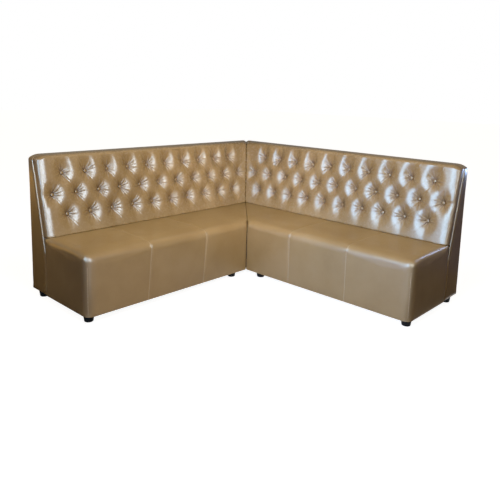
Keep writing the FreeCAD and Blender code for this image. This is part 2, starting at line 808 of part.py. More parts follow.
def bolt_shapes(along, height):
    """A hexagon bolt from the seat side and its nut behind the back's front panel."""
    radius = value("bolt_diameter / 2")
    head = value("bolt_head")
    corner = value("bolt_width_across_flats / sqrt(3)")
    rear = value(BACK_FRONT)
    front = value(BOX_REAR)

    def hexagon(deep):
        points = [Vector(along + corner * math.sin(math.pi / 3 * turn), deep,
                         height + corner * math.cos(math.pi / 3 * turn)) for turn in range(6)]
        return extruded(points, Vector(0, head, 0))

    tail = rear - head - value("bolt_overhang")
    shank = Part.makeCylinder(radius, front - tail, Vector(along, tail, height), Vector(0, 1, 0))
    bore = Part.makeCylinder(radius + value("bolt_clearance"), front - tail, Vector(along, tail, height),
                             Vector(0, 1, 0))
    return [shank.fuse(hexagon(front)).removeSplitter(), hexagon(rear - head).cut(bore)]


bolts = [shape for place in BOLT_PLACES for height in BOLT_HEIGHTS
         for shape in bolt_shapes(value(place), value(height))]
left("joining_bolts", shaped("joining_bolts", Part.makeCompound(bolts)))

# Locating pins on the left module and their sockets on the right
TO_FACE = "(mitre_gap / 2)"
TO_INSIDE = "(mitre_gap / 2 + lining + panel)"
pin_profile = [
    ("0", "0"),
    ("pin_diameter / 2 - pin_taper / 2", "0"),
    ("pin_diameter / 2", "pin_taper"),
    ("pin_diameter / 2", f"pin_reach + {TO_FACE}"),
    ("shank_diameter / 2", f"pin_reach + {TO_FACE}"),
    ("shank_diameter / 2", f"pin_reach + {TO_INSIDE}"),
    ("flange_diameter / 2", f"pin_reach + {TO_INSIDE}"),
    ("flange_diameter / 2", f"pin_reach + {TO_INSIDE} + flange_thickness"),
    ("0", f"pin_reach + {TO_INSIDE} + flange_thickness"),
]
socket_profile = [
    ("pin_diameter / 2 + pin_clearance", TO_FACE),
    ("shank_diameter / 2", TO_FACE),
    ("shank_diameter / 2", TO_INSIDE),
    ("flange_diameter / 2", TO_INSIDE),
    ("flange_diameter / 2", f"{TO_INSIDE} + flange_thickness"),
    ("pin_diameter / 2 + pin_clearance", f"{TO_INSIDE} + flange_thickness"),
]
pins = []
sockets = []
for place in PIN_PLACES:
    pin = turned_body("connector_pin", pin_profile)
    at_mitre(pin, place, "pin_reach")
    pins.append(pin)
    socket = turned_body("connector_socket", socket_profile)
    at_mitre(socket, place)
    sockets.append(socket)
left("connector_pins", group("connector_pins", pins))
left("connector_sockets", group("connector_sockets", sockets))

# The right module is the left one mirrored in the mitre plane
ONLY_LEFT = "connector_pins"
ONLY_RIGHT = "connector_sockets"
nodes = [piece for name, piece in left_nodes.items() if name != ONLY_RIGHT]
for name, piece in left_nodes.items():
    if name == ONLY_LEFT:
        continue
    mirrored = doc.addObject("Part::Mirroring", "right_" + name)
    mirrored.Label = "right_" + name
    mirrored.Source = piece
    mirrored.Base = Vector(0, 0, 0)
    mirrored.Normal = Vector(1, 1, 0)
    nodes.append(mirrored)

doc.recompute()
for obj in doc.Objects:
    if "Invalid" in obj.State or "Error" in obj.State:
        raise RuntimeError(f"{obj.Label} failed to build")
for piece in nodes:
    if piece.Shape.isNull() or not piece.Shape.isValid():
        raise RuntimeError(f"{piece.Label} has no valid shape")

os.makedirs("parts", exist_ok=True)
for piece in nodes:
    piece.Shape.exportStep(f"parts/{piece.Label}.step")
    box = piece.Shape.BoundBox
    print(f"{piece.Label}: {len(piece.Shape.Solids)} solids, {piece.Shape.Volume / 1000:.0f} cm3, "
          f"{box.XLength:.0f} x {box.YLength:.0f} x {box.ZLength:.0f}")
print(len(nodes), "nodes")
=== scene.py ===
import math

import bpy
import numpy as np
from mathutils import Matrix, Vector


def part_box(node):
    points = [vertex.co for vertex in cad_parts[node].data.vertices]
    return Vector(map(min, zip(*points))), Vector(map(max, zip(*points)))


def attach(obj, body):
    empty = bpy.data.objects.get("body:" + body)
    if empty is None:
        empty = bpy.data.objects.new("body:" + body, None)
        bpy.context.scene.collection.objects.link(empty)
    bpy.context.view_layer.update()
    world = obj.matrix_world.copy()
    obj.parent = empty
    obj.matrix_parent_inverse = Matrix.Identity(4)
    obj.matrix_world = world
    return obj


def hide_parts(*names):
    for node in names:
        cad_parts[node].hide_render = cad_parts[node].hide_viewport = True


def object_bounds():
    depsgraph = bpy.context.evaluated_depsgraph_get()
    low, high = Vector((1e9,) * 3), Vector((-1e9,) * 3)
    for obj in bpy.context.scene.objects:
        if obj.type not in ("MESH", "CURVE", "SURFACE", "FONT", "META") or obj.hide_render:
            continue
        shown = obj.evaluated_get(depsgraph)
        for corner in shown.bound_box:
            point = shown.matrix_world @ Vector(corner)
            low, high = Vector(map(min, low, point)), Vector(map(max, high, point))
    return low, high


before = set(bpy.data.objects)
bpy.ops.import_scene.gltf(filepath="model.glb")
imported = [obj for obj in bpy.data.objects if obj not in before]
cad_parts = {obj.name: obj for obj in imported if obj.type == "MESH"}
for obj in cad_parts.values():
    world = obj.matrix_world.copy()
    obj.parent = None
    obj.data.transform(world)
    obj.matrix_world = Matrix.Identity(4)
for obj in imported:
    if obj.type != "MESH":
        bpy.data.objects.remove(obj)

CAD_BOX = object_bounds()

# The bench: every piece of a module is made with x along the wing from the rear corner,
# y from the rear face towards the seat and z up, and is then carried to its own wing. Sizes are in metres.
CORNER_X = CAD_BOX[0][0]
CORNER_Y = CAD_BOX[1][1]
WING_END = CAD_BOX[1][1] - CAD_BOX[0][1]
SIDES = ("left", "right")
MITRE_CLEAR = 0.0010
PAD_MITRE_CLEAR = 0.0002

# The seat unit, from its own nodes
SEAT_LOW, SEAT_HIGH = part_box("left_seat_cover")
DECK_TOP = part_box("left_seat_deck")[1][2]
SEAT_REAR = SEAT_LOW[0] - CORNER_X
SEAT_FRONT = SEAT_HIGH[0] - CORNER_X
SEAT_BOTTOM = SEAT_LOW[2]
SEAT_TOP = 0.4545
SEAT_PADDING = 0.012
SEAT_SWELL = 0.0022
SEAT_GRID = 0.0125
DECK_CLEAR = 0.001
SEAT_FRONT_ROUND = 0.042
SEAT_END_ROUND = 0.030
SEAT_REAR_SHARE, SEAT_REAR_RUN = 0.3, 0.10
SEAT_CORNER_ROUND = 0.045
SEAT_MITRE_ROUND = 0.006
SEAT_FRONT_DROP = 0.010
SEAT_DROP_RUN = 0.150
SEAT_SEAMS = (1.165, 1.660)
SEAM_LEAN = {"left": 0.026, "right": 0.0}
SEAM_LEAN_TOP = SEAT_TOP - 0.05
SEAM_LEAN_FRONT, SEAM_LEAN_RUN = SEAT_FRONT - 0.06, 0.05
SEAM_STEPS = (0.0012, 0.0026, 0.0042, 0.0062, 0.0085, 0.0110, 0.0140, 0.0180)
# The painted highlight in a pale band on the raised fold beside each seam: its strength, place and width
SEAM_HIGHLIGHT, SEAM_HIGHLIGHT_OFF, SEAM_HIGHLIGHT_WIDTH = 0.58, 0.0050, 0.0030

# A seam is a narrow draw in a shallow dip, with the raised fold of its allowance on its outer side:
# the rise of each part, its distance from the seam and its width
SEAM_PARTS = (
    (-0.0020, 0.0, 0.0016),
    (-0.0005, 0.0, 0.0090),
    (0.0014, 0.0055, 0.0034),
    (-0.0006, 0.0110, 0.0014),
)

# The lining cloths, with holes for the locating pins and for the feet
LINING_REAR, LINING_FRONT = 0.003, SEAT_FRONT - 0.014
LINING_THICK = 0.0012
LINING_GRID = 0.06
PIN_DEPTHS = (0.343, 0.593)
PIN_HEIGHT = 0.230
PIN_HOLE = 0.0084
FOOT_HOLE = 0.0372
FOOT_PLACES = []
for foot in ("front_outer", "rear_outer", "front_mitre", "rear_mitre"):
    foot_low, foot_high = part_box("left_foot_" + foot)
    foot_along = CORNER_Y - (foot_low[1] + foot_high[1]) / 2
    foot_depth = (foot_low[0] + foot_high[0]) / 2 - CORNER_X
    FOOT_PLACES.append((foot_along, foot_depth))

# The leaning back, from its own nodes
PAD_LOW, PAD_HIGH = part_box("left_tufted_pad")
PAD_BOTTOM = PAD_LOW[2]
PAD_TOP = PAD_HIGH[2]
LEAN = math.radians(12.8)
SIN_LEAN, COS_LEAN, TAN_LEAN = math.sin(LEAN), math.cos(LEAN), math.tan(LEAN)
SLANT_START = 0.335
BACK_BASE = SEAT_REAR
END_DIP, END_DIP_RUN = 0.026, 0.080
MITRE_DIP, MITRE_DIP_RUN = 0.017, 0.046
DIP_START = 0.84

# The three rows of buttons
ROW_HEIGHT = 0.725
ROW_SPACING = 0.143
BUTTONS_IN_ROW = 11
FIRST_BUTTON = 0.2693
BUTTON_PITCH = 0.1791
BUTTON_RADIUS = 0.011
BUTTON_BODY = 0.006
BUTTON_DOME = ((0.0016, 0.0014), (0.0028, 0.0006), (0.0030, 0.0003), (0.0020, 0.0001))
BUTTON_PUCKERS, BUTTON_PUCKER = 14, 0.018
BUTTON_TILT = 0.07
BUTTON_FLOOR = 0.0218
BUTTON_LIFT = 0.0010

# The padded sheet of the back, with a rolled outer end
PAD_CROWN = 0.0590
PAD_WALL = 0.010
PAD_END = WING_END - 0.003
PAD_GRID = 0.0075
PAD_SWELL = 0.0028
END_EDGE, END_SHOULDER = 0.014, 0.058
END_LIP, END_EDGE_RISE, END_SHOULDER_RISE = 0.06, 0.60, 0.34

# The tufts: how far each part reaches, and its share of the whole depth
TUFT_START = 0.0115
TUFT_REACH = 0.0935
TUFT_HEIGHT = 0.74
TUFT_BOWL, TUFT_PIT, TUFT_PIT_RUN = 0.66, 0.33, 0.016
RISING_VALLEY, FALLING_VALLEY = 0.10, 0.14
VALLEY_WIDTH, VALLEY_ROUND = 0.012, 0.0012
UPPER_FOLD, LOWER_FOLD, SIDE_FOLD = 0.42, 0.30, 0.42

# Gathers run out from each button, drawn at random from a seed for each side, and pleats along the diagonals
SEEDS = {"left": 11, "right": 29}
GATHER_COUNT = (11, 15)
GATHER_WANDER = 0.28
GATHER_REACH = (0.040, 0.072)
GATHER_DEPTH = (0.5, 1.2)
GATHER_PRESS = 0.0040
GATHER_START, GATHER_RISE = 0.010, 0.008
GATHER_WIDTH, GATHER_FAN = 0.0024, 0.034
FALLING_PLEAT, RISING_PLEAT = (0.0030, 1.80), (0.0014, 1.05)
PLEAT_WIDTH = 0.0030
PLEAT_LIP, PLEAT_LIP_OFF, PLEAT_LIP_WIDTH = 0.6, 0.0070, 0.0036
# How deep the painted shade lies in the folds and in the pits round the buttons
FULL_FOLD, FOLD_SHADE = 0.0028, 0.62
PIT_RIM, PIT_SHADE = 0.038, 0.58
DARKEST_SHADE = 0.92

# The covers of the back
CHEEK_OUTER, CHEEK_INNER = WING_END - 0.0005, WING_END - 0.014
CHEEK_SWELL = 0.0022
CHEEK_VOXEL = 0.0048
BEAD_RADIUS = 0.0062
# How strongly each bead is painted paler as a painted highlight, weaker on the more brightly lit right wing
BEAD_HIGHLIGHT = {"left": 0.65, "right": 0.25}
REAR_END = WING_END - 0.0145
REAR_THICK = 0.0018
REAR_FOLD = 0.006
REAR_RIPPLE = 0.0009


# Small helpers for work at the bench

def clear_selection():
    if bpy.context.object and bpy.context.object.mode != "OBJECT":
        put_down()
    bpy.ops.object.select_all(action="DESELECT")


def take(piece):
    clear_selection()
    piece.select_set(True)
    bpy.context.view_layer.objects.active = piece


def put_down():
    bpy.ops.object.mode_set(mode="OBJECT")


def named(name):
    """Names the new piece and keeps its place in its mesh."""
    bpy.ops.object.transform_apply(location=True, rotation=False, scale=False)
    piece = bpy.context.object
    piece.name = name
    piece.data.name = name
    return piece


def read_points(piece):
    points = np.empty(len(piece.data.vertices) * 3)
    piece.data.vertices.foreach_get("co", points)
    return points.reshape(-1, 3)


def write_points(piece, points):
    piece.data.vertices.foreach_set("co", np.ascontiguousarray(points).ravel())
    piece.data.update()


def read_normals(piece):
    normals = np.empty(len(piece.data.vertices) * 3)
    piece.data.vertex_normals.foreach_get("vector", normals)
    return normals.reshape(-1, 3)


def pick(piece, kind, wanted):
    """Goes into edit mode with just the wanted vertices, edges or faces selected."""
    take(piece)
    bpy.ops.object.mode_set(mode="EDIT")
    bpy.ops.mesh.select_mode(type=kind)
    bpy.ops.mesh.select_all(action="DESELECT")
    put_down()
    parts = {"VERT": piece.data.vertices, "EDGE": piece.data.edges, "FACE": piece.data.polygons}[kind]
    parts.foreach_set("select", np.asarray(wanted, dtype=bool))
    bpy.ops.object.mode_set(mode="EDIT")


def face_centres(piece):
    return np.array([face.center for face in piece.data.polygons])


def edge_runs(piece):
    """The start point and the run of every edge."""
    ends = np.empty(len(piece.data.edges) * 2, dtype=int)
    piece.data.edges.foreach_get("vertices", ends)
    ends = ends.reshape(-1, 2)
    points = read_points(piece)
    return points[ends[:, 0]], points[ends[:, 1]] - points[ends[:, 0]]


def cut_along(piece, axis, cuts):
    """Cuts the long edges that run along an axis."""
    runs = edge_runs(piece)[1]
    pick(piece, "EDGE", np.abs(runs[:, axis]) > 0.5)
    bpy.ops.mesh.subdivide(number_cuts=cuts)
    put_down()


def apply_modifiers(piece):
    take(piece)
    for modifier in list(piece.modifiers):
        bpy.ops.object.modifier_apply(modifier=modifier.name)


def smooth(piece, angle):
    take(piece)
    bpy.ops.object.shade_smooth_by_angle(angle=math.radians(angle))


def outward(piece):
    take(piece)
    bpy.ops.object.mode_set(mode="EDIT")
    bpy.ops.mesh.select_all(action="SELECT")
    bpy.ops.mesh.normals_make_consistent(inside=False)
    put_down()


def subdivide_once(piece):
    fine = piece.modifiers.new("fine", "SUBSURF")
    fine.levels = 1
    fine.render_levels = 1
    apply_modifiers(piece)


def fit_to_wing(piece, side):
    """Carries a piece from the bench to its wing. The right wing is the mirror image of the left one."""
    x_row, y_row = ((0, 1, 0), (-1, 0, 0)) if side == "left" else ((1, 0, 0), (0, -1, 0))
    piece.data.transform(Matrix(((*x_row, CORNER_X), (*y_row, CORNER_Y), (0, 0, 1, 0), (0, 0, 0, 1))))
    if side == "right":
        piece.data.flip_normals()
    piece.data.update()


def set_finish(piece, material):
    piece.data.materials.clear()
    piece.data.materials.append(material)


def hand_over(piece, side, material, slot, *nodes):
    """Places a finished piece on its wing, gives it its finish and hides the CAD nodes that it stands for."""
    fit_to_wing(piece, side)
    set_finish(piece, material)
    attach(piece, side + "_module")
    if nodes:
        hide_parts(*[side + "_" + node for node in nodes])


def puff(piece, held, pressure, cap, frames):
    """Blows a padded piece up like cloth over filling. Held points stay, and the cap limits the rest."""
    before = read_points(piece)
    group = piece.vertex_groups.new(name="held")
    group.add([int(i) for i in np.flatnonzero(held)], 1.0, "REPLACE")
    cloth = piece.modifiers.new("puff", "CLOTH")
    cloth.settings.quality = 4
    cloth.settings.mass = 0.4
    cloth.settings.tension_stiffness = 25
    cloth.settings.compression_stiffness = 25
    cloth.settings.shear_stiffness = 12
    cloth.settings.bending_stiffness = 1.2
    cloth.settings.vertex_group_mass = "held"
    cloth.settings.use_pressure = True
    cloth.settings.uniform_pressure_force = pressure
    cloth.settings.effector_weights.gravity = 0
    cloth.collision_settings.use_collision = False
    cloth.point_cache.frame_start = 1
    cloth.point_cache.frame_end = frames
    for step in range(1, frames + 1):
        bpy.context.scene.frame_set(step)
    apply_modifiers(piece)
    bpy.context.scene.frame_set(1)
    piece.vertex_groups.clear()
    moves = read_points(piece) - before
    lengths = np.linalg.norm(moves, axis=1, keepdims=True)
    share = np.minimum(1.0, cap / np.maximum(lengths, 1e-9))
    write_points(piece, before + moves * share)


def add_wall(piece, thick):
    """Gives a sheet its thickness, behind its face."""
    wall = piece.modifiers.new("wall", "SOLIDIFY")
    wall.thickness = thick
    wall.offset = -1.0
    apply_modifiers(piece)


def thicken(piece, towards, thick):
    """Gives a sheet its thickness, behind the face that looks towards a direction."""
    if (read_normals(piece) @ np.array(towards)).mean() < 0:
        piece.data.flip_normals()
    add_wall(piece, thick)


def paint_points(piece, name, values):
    """Keeps a number for every vertex, for the finish to read."""
    layer = piece.data.attributes.new(name, "FLOAT", "POINT")
    layer.data.foreach_set("value", np.ascontiguousarray(values))


def smoothstep(value):
    value = np.clip(value, 0.0, 1.0)
    return value * value * (3.0 - 2.0 * value)


# Materials

class Nodes:
    """A node tree with short ways to add and join its nodes."""

    def __init__(self, tree):
        self.tree = tree

    def add(self, kind, **settings):
        node = self.tree.nodes.new(kind)
        for key, value in settings.items():
            if key in node.inputs:
                node.inputs[key].default_value = value
            else:
                setattr(node, key, value)
        return node

    def join(self, start, end):
        self.tree.links.new(start, end)

    def greater(self, first, second):
        node = self.add("ShaderNodeMath", operation="MAXIMUM")
        self.join(first, node.inputs[0])
        self.join(second, node.inputs[1])
        return node.outputs[0]

    def mix_shaders(self, share, first, second):
        node = self.add("ShaderNodeMixShader")
        for value, socket in zip((share, first, second), node.inputs):
            self.join(value, socket)
        return node.outputs[0]

    def sees_backdrop(self):
        """1 for rays that see the background, straight, in gloss or through glass, and 0 for light."""
        rays = self.add("ShaderNodeLightPath").outputs
        straight_or_gloss = self.greater(rays["Is Camera Ray"], rays["Is Glossy Ray"])
        return self.greater(straight_or_gloss, rays["Is Transmission Ray"])


class Finish(Nodes):
    """A material, with short ways to add its grain, tones and bumps."""

    def __init__(self, name):
        self.material = bpy.data.materials.new(name)
        self.material.use_nodes = True
        super().__init__(self.material.node_tree)
        self.shader = self.tree.nodes["Principled BSDF"]
        self.places = self.add("ShaderNodeTexCoord").outputs["Object"]

    def set(self, **values):
        for key, value in values.items():
            self.shader.inputs[key.replace("_", " ")].default_value = value

    def noise(self, scale, detail=4.0, rough=0.55):
        node = self.add("ShaderNodeTexNoise", Scale=scale, Detail=detail, Roughness=rough)
        self.join(self.places, node.inputs["Vector"])
        return node.outputs["Fac"]

    def cells(self, scale):
        node = self.add("ShaderNodeTexVoronoi", Scale=scale)
        self.join(self.places, node.inputs["Vector"])
        return node.outputs["Distance"]

    def tones(self, value, *stops):
        node = self.add("ShaderNodeValToRGB")
        ramp = node.color_ramp
        ramp.elements[0].position, ramp.elements[0].color = stops[0][0], (*stops[0][1], 1.0)
        ramp.elements[1].position, ramp.elements[1].color = stops[-1][0], (*stops[-1][1], 1.0)
        for place, tone in stops[1:-1]:
            ramp.elements.new(place).color = (*tone, 1.0)
        self.join(value, node.inputs["Fac"])
        return node.outputs["Color"]

    def span(self, value, low, high):
        node = self.add("ShaderNodeMapRange")
        node.inputs["To Min"].default_value = low
        node.inputs["To Max"].default_value = high
        self.join(value, node.inputs["Value"])
        return node.outputs["Result"]

    def scaled_sum(self, value, share, other):
        node = self.add("ShaderNodeMath", operation="MULTIPLY_ADD")
        self.join(value, node.inputs[0])
        node.inputs[1].default_value = share
        self.join(other, node.inputs[2])
        return node.outputs[0]

    def blend(self, fac, first, second, how="MIX"):
        node = self.add("ShaderNodeMix", data_type="RGBA", blend_type=how)
        for value, socket in ((fac, node.inputs[0]), (first, node.inputs[6]), (second, node.inputs[7])):
            if isinstance(value, (int, float)):
                socket.default_value = value
            elif isinstance(value, tuple):
                socket.default_value = (*value, 1.0)
            else:
                self.join(value, socket)
        return node.outputs[2]

    def bump(self, height, strength, distance, under=None):
        node = self.add("ShaderNodeBump", Strength=strength, Distance=distance)
        self.join(height, node.inputs["Height"])
        if under is not None:
            self.join(under, node.inputs["Normal"])
        return node.outputs["Normal"]

    def attribute(self, name):
        return self.add("ShaderNodeAttribute", attribute_name=name).outputs["Fac"]

    def dress(self, colour, roughness, normal):
        """Joins the colour, roughness and normal to the shader and gives back the material."""
        for value, socket in ((colour, "Base Color"), (roughness, "Roughness"), (normal, "Normal")):
            self.join(value, self.shader.inputs[socket])
        return self.material


BRONZE = (0.272, 0.172, 0.062)
BRONZE_DEEP = (0.215, 0.128, 0.040)
BRONZE_PALE = (0.320, 0.210, 0.088)
# The brown of the painted shade in folds, pits and buttons
SHADE_BROWN = (0.125, 0.060, 0.014)
PEARL_DUST = (0.62, 0.60, 0.58)
# The paler bronze of the painted highlight on seam folds and beads
HIGHLIGHT_BRONZE = (0.430, 0.320, 0.180)


def pearl_leatherette(name, shaded_folds=False, with_painted_highlight=False, smoothest=0.29, deep=0.0, pearl=0.0):
    """Bronze leatherette with a pearl coat and fine pebble grain, with painted shade in its folds, its pits
    and over buttons, and a painted highlight in a pale band on seam folds and beads.
    """
    finish = Finish(name)
    clouds = finish.tones(finish.noise(3.2, 5.0), (0.30, BRONZE_DEEP), (0.52, BRONZE), (0.74, BRONZE_PALE))
    pebbles = finish.cells(620.0)
    speck = finish.span(finish.noise(900.0, 2.0), 0.90, 1.06)
    colour = finish.blend(0.35, clouds, BRONZE)
    colour = finish.blend(0.55, colour, speck, "MULTIPLY")
    if pearl:
        colour = finish.blend(pearl, colour, PEARL_DUST)
    rough = finish.span(finish.noise(45.0, 4.0), smoothest, smoothest + 0.08)
    # Painted shade in the folds and pits, where the finish is also rougher
    if shaded_folds:
        fold_shade = finish.attribute("fold_shade")
        colour = finish.blend(fold_shade, colour, SHADE_BROWN)
        rough = finish.scaled_sum(fold_shade, 0.35, rough)
    # Painted shade over the whole piece, for buttons that sit in the shade of their pits
    if deep:
        colour = finish.blend(deep, colour, SHADE_BROWN)
    # Painted highlight in a pale band on seam folds and on the beads
    if with_painted_highlight:
        colour = finish.blend(finish.attribute("painted_highlight"), colour, HIGHLIGHT_BRONZE)
    grain = finish.bump(pebbles, 0.11, 0.0006)
    creases = finish.bump(finish.noise(140.0, 5.0, 0.6), 0.05, 0.0014, grain)
    finish.set(Specular_IOR_Level=0.42)
    return finish.dress(colour, rough, creases)


def raw_board(name, pale, deep, scale):
    """Sawn board with long grain and a few darker pores."""
    finish = Finish(name)
    stretch = finish.add("ShaderNodeMapping")
    stretch.inputs["Scale"].default_value = (1.0, 1.0, 9.0)
    finish.join(finish.places, stretch.inputs["Vector"])
    figure = finish.add("ShaderNodeTexNoise", Scale=scale, Detail=6.0, Roughness=0.6, Distortion=0.4)
    finish.join(stretch.outputs["Vector"], figure.inputs["Vector"])
    colour = finish.tones(figure.outputs["Fac"], (0.30, deep), (0.62, pale))
    fibres = finish.noise(420.0, 3.0)
    return finish.dress(colour, finish.span(fibres, 0.62, 0.82), finish.bump(fibres, 0.2, 0.0004))


def moulded_plastic(name):
    """Black moulded plastic with a fine spark texture."""
    finish = Finish(name)
    spark = finish.noise(1500.0, 2.0)
    colour = finish.tones(finish.noise(30.0), (0.35, (0.003, 0.003, 0.003)), (0.7, (0.008, 0.007, 0.007)))
    finish.set(Specular_IOR_Level=0.10)
    return finish.dress(colour, finish.span(spark, 0.42, 0.58), finish.bump(spark, 0.12, 0.0003))


def spun_cloth(name, pale, deep):
    """Pressed non-woven cloth with its grid of bonding points."""
    finish = Finish(name)
    fibres = finish.noise(700.0, 6.0, 0.7)
    bonds = finish.cells(430.0)
    colour = finish.tones(fibres, (0.3, deep), (0.7, pale))
    height = finish.bump(bonds, 0.35, 0.0006, finish.bump(fibres, 0.25, 0.0004))
    return finish.dress(colour, finish.span(fibres, 0.78, 0.95), height)


def zinc_steel(name):
    """Zinc plated steel with faint spangle."""
    finish = Finish(name)
    spangle = finish.cells(260.0)
    colour = finish.tones(spangle, (0.1, (0.52, 0.53, 0.55)), (0.8, (0.66, 0.66, 0.65)))
    finish.set(Metallic=1.0)
    rough = finish.span(finish.noise(300.0), 0.28, 0.44)
    return finish.dress(colour, rough, finish.bump(spangle, 0.08, 0.0003))


def waxed_twine(name):
    """Pale waxed twine, with its lay as a fine ripple."""
    finish = Finish(name)
    lay = finish.noise(1100.0, 3.0)
    colour = finish.tones(lay, (0.3, (0.44, 0.38, 0.27)), (0.7, (0.62, 0.56, 0.43)))
    return finish.dress(colour, finish.span(lay, 0.55, 0.75), finish.bump(lay, 0.4, 0.0005))


LEATHERETTE = pearl_leatherette("bronze_leatherette")
SEAT_LEATHERETTE = pearl_leatherette("seat_bronze_leatherette", with_painted_highlight=True, smoothest=0.34)
TUFTED_LEATHERETTE = pearl_leatherette("tufted_bronze_leatherette", shaded_folds=True, smoothest=0.23, pearl=0.028)
# The buttons carry an even painted shade
BUTTON_LEATHERETTE = pearl_leatherette("button_bronze_leatherette", smoothest=0.30, deep=0.20)
FRAME_BOARD = raw_board("frame_board", (0.52, 0.37, 0.20), (0.34, 0.21, 0.10), 16.0)
TIE_BOARD = raw_board("tie_board", (0.20, 0.12, 0.06), (0.12, 0.07, 0.035), 60.0)
FOOT_PLASTIC = moulded_plastic("black_foot_plastic")
LINING = spun_cloth("black_lining", (0.030, 0.030, 0.032), (0.012, 0.012, 0.013))
STEEL = zinc_steel("zinc_steel")
TWINE = waxed_twine("waxed_twine")

CAD_FINISHES = {
    FRAME_BOARD: (
        "seat_front_panel", "seat_rear_panel", "seat_end_panel", "seat_mitre_panel", "seat_ribs", "seat_deck",
        "back_outer_cheek", "back_mitre_cheek", "back_ribs", "back_front_panel", "back_rails", "foot_blocks",
    ),
    TIE_BOARD: ("back_board",),
    FOOT_PLASTIC: ("foot_front_outer", "foot_rear_outer", "foot_front_mitre", "foot_rear_mitre"),
    STEEL: ("joining_bolts",),
    TWINE: ("button_ties",),
}


def finish_cad_nodes():
    for material, nodes in CAD_FINISHES.items():
        for side in SIDES:
            for node in nodes:
                set_finish(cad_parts[side + "_" + node], material)
    set_finish(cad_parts["left_connector_pins"], STEEL)
    set_finish(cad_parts["right_connector_sockets"], STEEL)


# The seat upholstery

def seat_columns():
    """Places along the wing where the seat is cut: even steps, and fine ones beside each seam."""
    first = 0.5 * (SEAT_REAR + SEAT_FRONT)
    stops = [first, *SEAT_SEAMS, WING_END]
    places = []
    reach = SEAM_STEPS[-1]
    for start, end in zip(stops[:-1], stops[1:]):
        low = start + (reach if start in SEAT_SEAMS else 0.0)
        high = end - (reach if end in SEAT_SEAMS else 0.0)
        places.extend(even_rows(low, high, SEAT_GRID))
    for seam in SEAT_SEAMS:
        places.append(seam)
        for step in SEAM_STEPS[:-1]:
            places.extend((seam - step, seam + step))
    return np.unique(np.round(places, 6))


def even_rows(low, high, step):
    return np.linspace(low, high, int(round((high - low) / step)) + 1)


def cut_box(name, counts):
    """A unit box whose sides are cut into a grid."""
    clear_selection()
    bpy.ops.mesh.primitive_cube_add(size=1.0, location=(0.5, 0.5, 0.5))
    piece = named(name)
    for axis, count in enumerate(counts):
        cut_along(piece, axis, count - 2)
    return piece


def rounded_corner(first, second, radius):
    """New distances from two faces so that their corner becomes an arc, inside as well as on the faces."""
    level = np.minimum(first, second)
    inner = np.maximum(radius - level, 1e-9)
    along = np.maximum(first, second) - level
    turn = (1.0 - np.clip(along / inner, 0.0, 1.0)) * math.pi / 4
    near, far = radius - inner * np.cos(turn), radius - inner * np.sin(turn)
    inside = (first < radius) & (second < radius)
    new_first = np.where(inside, np.where(first <= second, near, far), first)
    new_second = np.where(inside, np.where(first <= second, far, near), second)
    return new_first, new_second


def seam_lean(side, points):
    """How far a seam has wandered towards the outer end, down the front of the seat."""
    low = np.clip((SEAM_LEAN_TOP - points[:, 2]) / (SEAM_LEAN_TOP - SEAT_BOTTOM), 0.0, 1.0)
    return SEAM_LEAN[side] * low * smoothstep((points[:, 1] - SEAM_LEAN_FRONT) / SEAM_LEAN_RUN)


